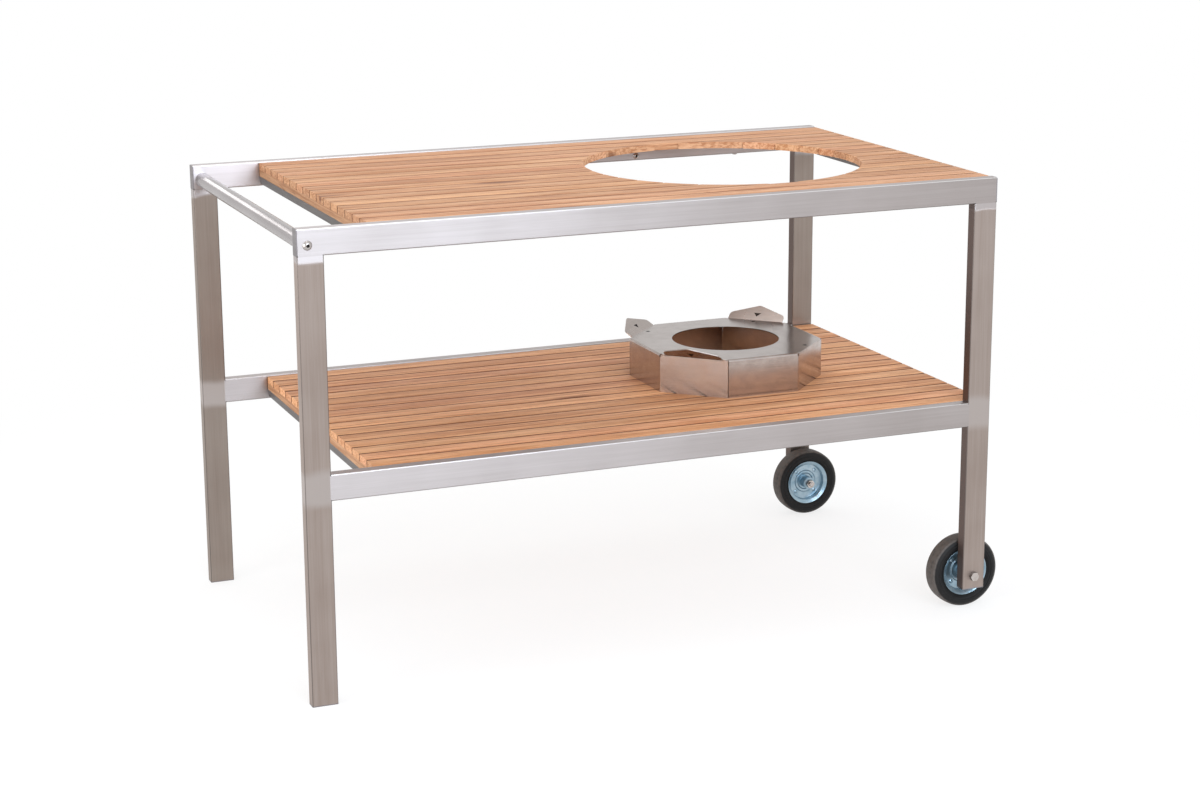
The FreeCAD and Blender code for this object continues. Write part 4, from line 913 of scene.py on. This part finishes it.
def lay_side(stand, side):
    """One wall, bent down from the plate, and the corner that it wraps, up to the open seam."""
    seam, wrap = -SIDE_HALF + SEAM_STEP, SIDE_HALF - WRAP_STEP
    profile = [(STAND_HALF - TOP_BEND - STRAIGHT, STAND_HEIGHT)]
    profile += arc((STAND_HALF - TOP_BEND, SHOULDER), TOP_BEND, 90, 0, 6)
    profile += [(STAND_HALF, SHOULDER - STRAIGHT), (STAND_HALF, SHOULDER - SKIRT)]
    stand.strip([[stand.spot(side, out, along, height) for along in (seam, wrap)]
                 for out, height in profile])
    bend_start = SIDE_HALF - CORNER_BEND * math.tan(math.radians(22.5))
    columns = [(STAND_HALF, seam), (STAND_HALF, wrap)]
    columns += arc((STAND_HALF - CORNER_BEND, bend_start), CORNER_BEND, 0, 45, 5)
    stand.strip([[stand.spot(side, out, along, height) for out, along in columns]
                 + [stand.spot(side + 45, FACET_OUT, -FACET_HALF + WRAP_STEP, height)]
                 for height in (SHOULDER - SKIRT, 0)])
    # The wrapped face ends just under the plate, beside the relief cut.
    under_plate, beside_cut = STAND_HEIGHT - SHEET - 0.2, -FACET_HALF + 3
    face = [(-FACET_HALF + WRAP_STEP, 0), (FACET_HALF - SEAM, 0), (FACET_HALF - SEAM, under_plate),
            (beside_cut, under_plate), (beside_cut, SHOULDER - SKIRT),
            (-FACET_HALF + WRAP_STEP, SHOULDER - SKIRT)]
    stand.sheet([stand.spot(side + 45, FACET_OUT, along, height) for along, height in face])


def lay_tab(stand, facet):
    """One tab, folded up from the plate, with a tongue bent back out of its slot; the slot's rim and the tongue
    are painted dark, as painted shade.
    """
    rise, run = math.sin(TAB_SLOPE), math.cos(TAB_SLOPE)
    start = FACET_OUT - SHEET * rise, STAND_HEIGHT - SHEET + SHEET * run

    def on_tab(out, along, back=0.0):
        """The corner at a place on the sloping tab, or behind its face."""
        return stand.spot(facet, start[0] + out * run + back * rise, along,
                          start[1] + out * rise - back * run)

    fold = [(FACET_OUT - TAB_TURN - STRAIGHT, STAND_HEIGHT)]
    fold += arc((FACET_OUT - TAB_TURN, STAND_HEIGHT + TAB_BEND), TAB_BEND, -90,
                math.degrees(TAB_SLOPE) - 90, 4)
    rows = [[stand.spot(facet, out, along, height) for along in (-TAB_HALF, TAB_HALF)]
            for out, height in fold]
    stand.strip(rows + [[on_tab(TAB_FOOT, -TAB_HALF), on_tab(TAB_FOOT, TAB_HALF)]])
    corners = ((TAB_FOOT, -TAB_HALF, 0), (TAB_SHOULDER, -TAB_HALF, TAB_ROUND), (TAB_TIP, 0, TAB_ROUND),
               (TAB_SHOULDER, TAB_HALF, TAB_ROUND), (TAB_FOOT, TAB_HALF, 0))
    outline = [on_tab(*point) for point in eased_outline(corners, 6)]
    slot = [on_tab(*point) for point in ((14, 0), (22, -6.5), (22, -6), (22, 6), (22, 6.5))]
    rim = [on_tab(*point) for point in ((12.4, 0), (22.9, -8.2), (22.9, -6), (22.9, 6), (22.9, 8.2))]
    stand.strip([slot + slot[:1], rim + rim[:1]], 1.0)
    stand.sheet(outline, rim)
    stand.mesh.faces.new((on_tab(22, -6), on_tab(22, 6), on_tab(12.5, 0, 3.0)))[stand.painted_hole_shade] = 1.0


def fold_stand(name, finish):
    """The whole stand: the outer face, given its sheet thickness inward and its edges deburred."""
    stand = FoldedSheet()
    lay_plate(stand)
    for side in SIDES:
        lay_side(stand, side)
    for facet in TAB_FACETS:
        lay_tab(stand, facet)
    bmesh.ops.recalc_face_normals(stand.mesh, faces=stand.mesh.faces)
    if sum(face.normal.z * face.calc_area() for face in stand.mesh.faces) < 0:
        bmesh.ops.reverse_faces(stand.mesh, faces=stand.mesh.faces)
    piece = as_piece(name, stand.mesh, finish)
    sheet = piece.modifiers.new("sheet", "SOLIDIFY")
    sheet.thickness, sheet.offset, sheet.use_even_offset = SHEET * MM, -1.0, True
    edge = piece.modifiers.new("deburred", "BEVEL")
    edge.width, edge.segments, edge.limit_method = 0.25 * MM, 2, "ANGLE"
    edge.angle_limit = math.radians(50)
    soften(applied(piece))
    # The broad faces keep their own normals, so that they shade flat up to the bends.
    piece.modifiers.new("flat faces", "WEIGHTED_NORMAL").keep_sharp = True
    return applied(piece)


def satin_stainless_sheet(name, pale, dull, roughness):
    """Stainless sheet with a fine satin grain along each side and a few buckles from the folding:
    the grain smears the reflected slats upward, and the buckles bend them."""
    finish, add, place = new_finish(name)
    facing = add("NewGeometry").outputs["Normal"]
    along = add("VectorMath CROSS_PRODUCT", facing, (0, 0, 1))
    direction = add("VectorMath ADD", along, (0.05, 0, 0))
    # The satin lines are about 0.2 mm apart, too fine to show; drawn 0.8 mm apart.
    fine = add("Mapping", place, named={"Scale": stretched((1, 1, 0), 60, 0.8)})
    lines = add("TexNoise", fine, 1, 3, 0.6)
    buckle = add("TexNoise", place, 1 / (90 * MM), 0, 0.4)
    smudge = add("TexNoise", place, 1 / (24 * MM), 4, 0.65)
    wear = add("Math MULTIPLY", lines, smudge)
    used = add("MapRange", wear, 0.12, 0.42)
    clean = add("Mix", used, pale, dull, **IN_COLOUR)
    # Painted shade: faces that look up are darkened.
    level = add("SeparateXYZ", facing).outputs[2]
    upward_shade = add("MapRange", level, 0.5, 0.98, 0, 0.8, **SOFTLY)
    top_shaded = add("Mix", upward_shade, clean, "#938a85", **IN_COLOUR)
    # Painted shade: the rims of holes and slots, and the tongues behind the slots, are painted dark.
    painted_hole_shade = add("Attribute", attribute_name="painted_hole_shade").outputs["Fac"]
    tone = add("Mix", painted_hole_shade, top_shaded, "#3a3330", **IN_COLOUR)
    rough = add("MapRange", smudge, 0, 1, roughness - 0.05, roughness + 0.08)
    # The press brake scuffs the bends matt.
    off_bend = add("Math ABSOLUTE", add("Math SUBTRACT", level, 0.5))
    scuffed = add("MapRange", off_bend, 0.2, 0.4, 0.4, 0, **SOFTLY)
    dullness = add("Math ADD", rough, scuffed)
    relief = add("Bump", named={"Strength": 1, "Distance": 0.8 * MM, "Height": buckle})
    add("OutputMaterial", add("BsdfPrincipled", named={
        "Base Color": tone, "Metallic": 1, "Roughness": dullness, "Anisotropic": 0.7,
        "Anisotropic Rotation": 0.25, "Tangent": direction, "Normal": relief}))
    return finish


stand_steel = satin_stainless_sheet("satin_stainless_stand", "#c6bbb5", "#a99e98", 0.16)
put_on(fold_stand("folded_stand", stand_steel), "stand", "stand_sheet",
       "stand_shell", "stand_corner_plates")


# Studio: a pale floor that fades into a white backdrop, one large soft lamp in front,
# a long one overhead, one low at the handle end and a small one behind.

def studio_floor(name, reach):
    """Matt white paint that the camera and the metal see brighten into the backdrop, with its shadows."""
    finish, add, place = new_finish("white_studio_floor")
    away = add("VectorMath LENGTH", place)
    fade = add("MapRange", away, 0.9, 2.2, 0.75, 1, **SOFTLY)
    paint = add("BsdfDiffuse", "#f7f7f7")
    glow = add("Emission", "#ffffff", 1)
    rays = add("LightPath").outputs
    seen = add("Math ADD", rays["Is Camera Ray"], rays["Is Glossy Ray"], use_clamp=True)
    bright = add("Math MULTIPLY", seen, fade)
    add("OutputMaterial", add("MixShader", bright, paint, glow))
    mesh = bmesh.new()
    corners = ((-1, -1), (1, -1), (1, 1), (-1, 1))
    mesh.faces.new([mesh.verts.new((x * reach, y * reach, 0)) for x, y in corners])
    return as_piece(name, mesh, finish)


floor = studio_floor("studio_floor", 20.0)

world = bpy.data.worlds.new("white_studio")
bpy.context.scene.world = world
world.use_nodes = True
world.node_tree.nodes.clear()
add = partial(add_node, world.node_tree)
add("OutputWorld", add("Background", "#ffffff", 1))


def soft_lamp(name, middle, target, width, height, radiance, tint="#ffffff"):
    """A large even softbox; its power follows from its size and the radiance wanted."""
    light = bpy.data.lights.new(name, "AREA")
    light.shape = "RECTANGLE"
    light.size, light.size_y = width, height
    light.energy = radiance * width * height * math.pi
    light.color = linear(tint)[:3]
    lamp = bpy.data.objects.new(name, light)
    lamp.location = middle
    lamp.rotation_euler = (Vector(target) - Vector(middle)).to_track_quat("-Z", "Y").to_euler()
    lamp.visible_camera = False
    bpy.context.scene.collection.objects.link(lamp)


soft_lamp("front_softbox", (0.0, -4.4, 2.4), (0, 0, 0.6), 3.2, 2.4, 6.6, "#e2f0ff")
soft_lamp("overhead_softbox", (-0.4, 0.2, 3.4), (0, 0, 0.5), 2.8, 1.0, 1.6)
soft_lamp("rear_softbox", (-1.12, 3.4, 1.78), (-0.6, 0, 0.87), 0.9, 0.36, 2.6)
soft_lamp("side_softbox", (-3.9, -1.5, 1.1), (0, 0, 0.6), 1.8, 1.8, 6.0)


# Camera: the photograph's own place, looking down a little on the handle end and the front side.
# It has no shift, because every other view would keep the shift too.

CAMERA_PLACE = Vector((-1.8698, -4.6147, 1.6843))
YAW, PITCH, ROLL = 0.38593, -0.24875, -0.00532
camera_data = bpy.data.cameras.new("photo_camera")
camera_data.sensor_width = 36.0
camera_data.lens = 74.38
camera = bpy.data.objects.new("photo_camera", camera_data)
forward = Vector((math.sin(YAW) * math.cos(PITCH), math.cos(YAW) * math.cos(PITCH), math.sin(PITCH)))
level = Vector((math.cos(YAW), -math.sin(YAW), 0.0))
upright = level.cross(forward)
right = level * math.cos(ROLL) + upright * math.sin(ROLL)
up = upright * math.cos(ROLL) - level * math.sin(ROLL)
camera.matrix_world = Matrix.Translation(CAMERA_PLACE) @ Matrix((right, up, -forward)).transposed().to_4x4()
bpy.context.scene.collection.objects.link(camera)
bpy.context.scene.camera = camera

bpy.context.scene.view_settings.view_transform = "Standard"
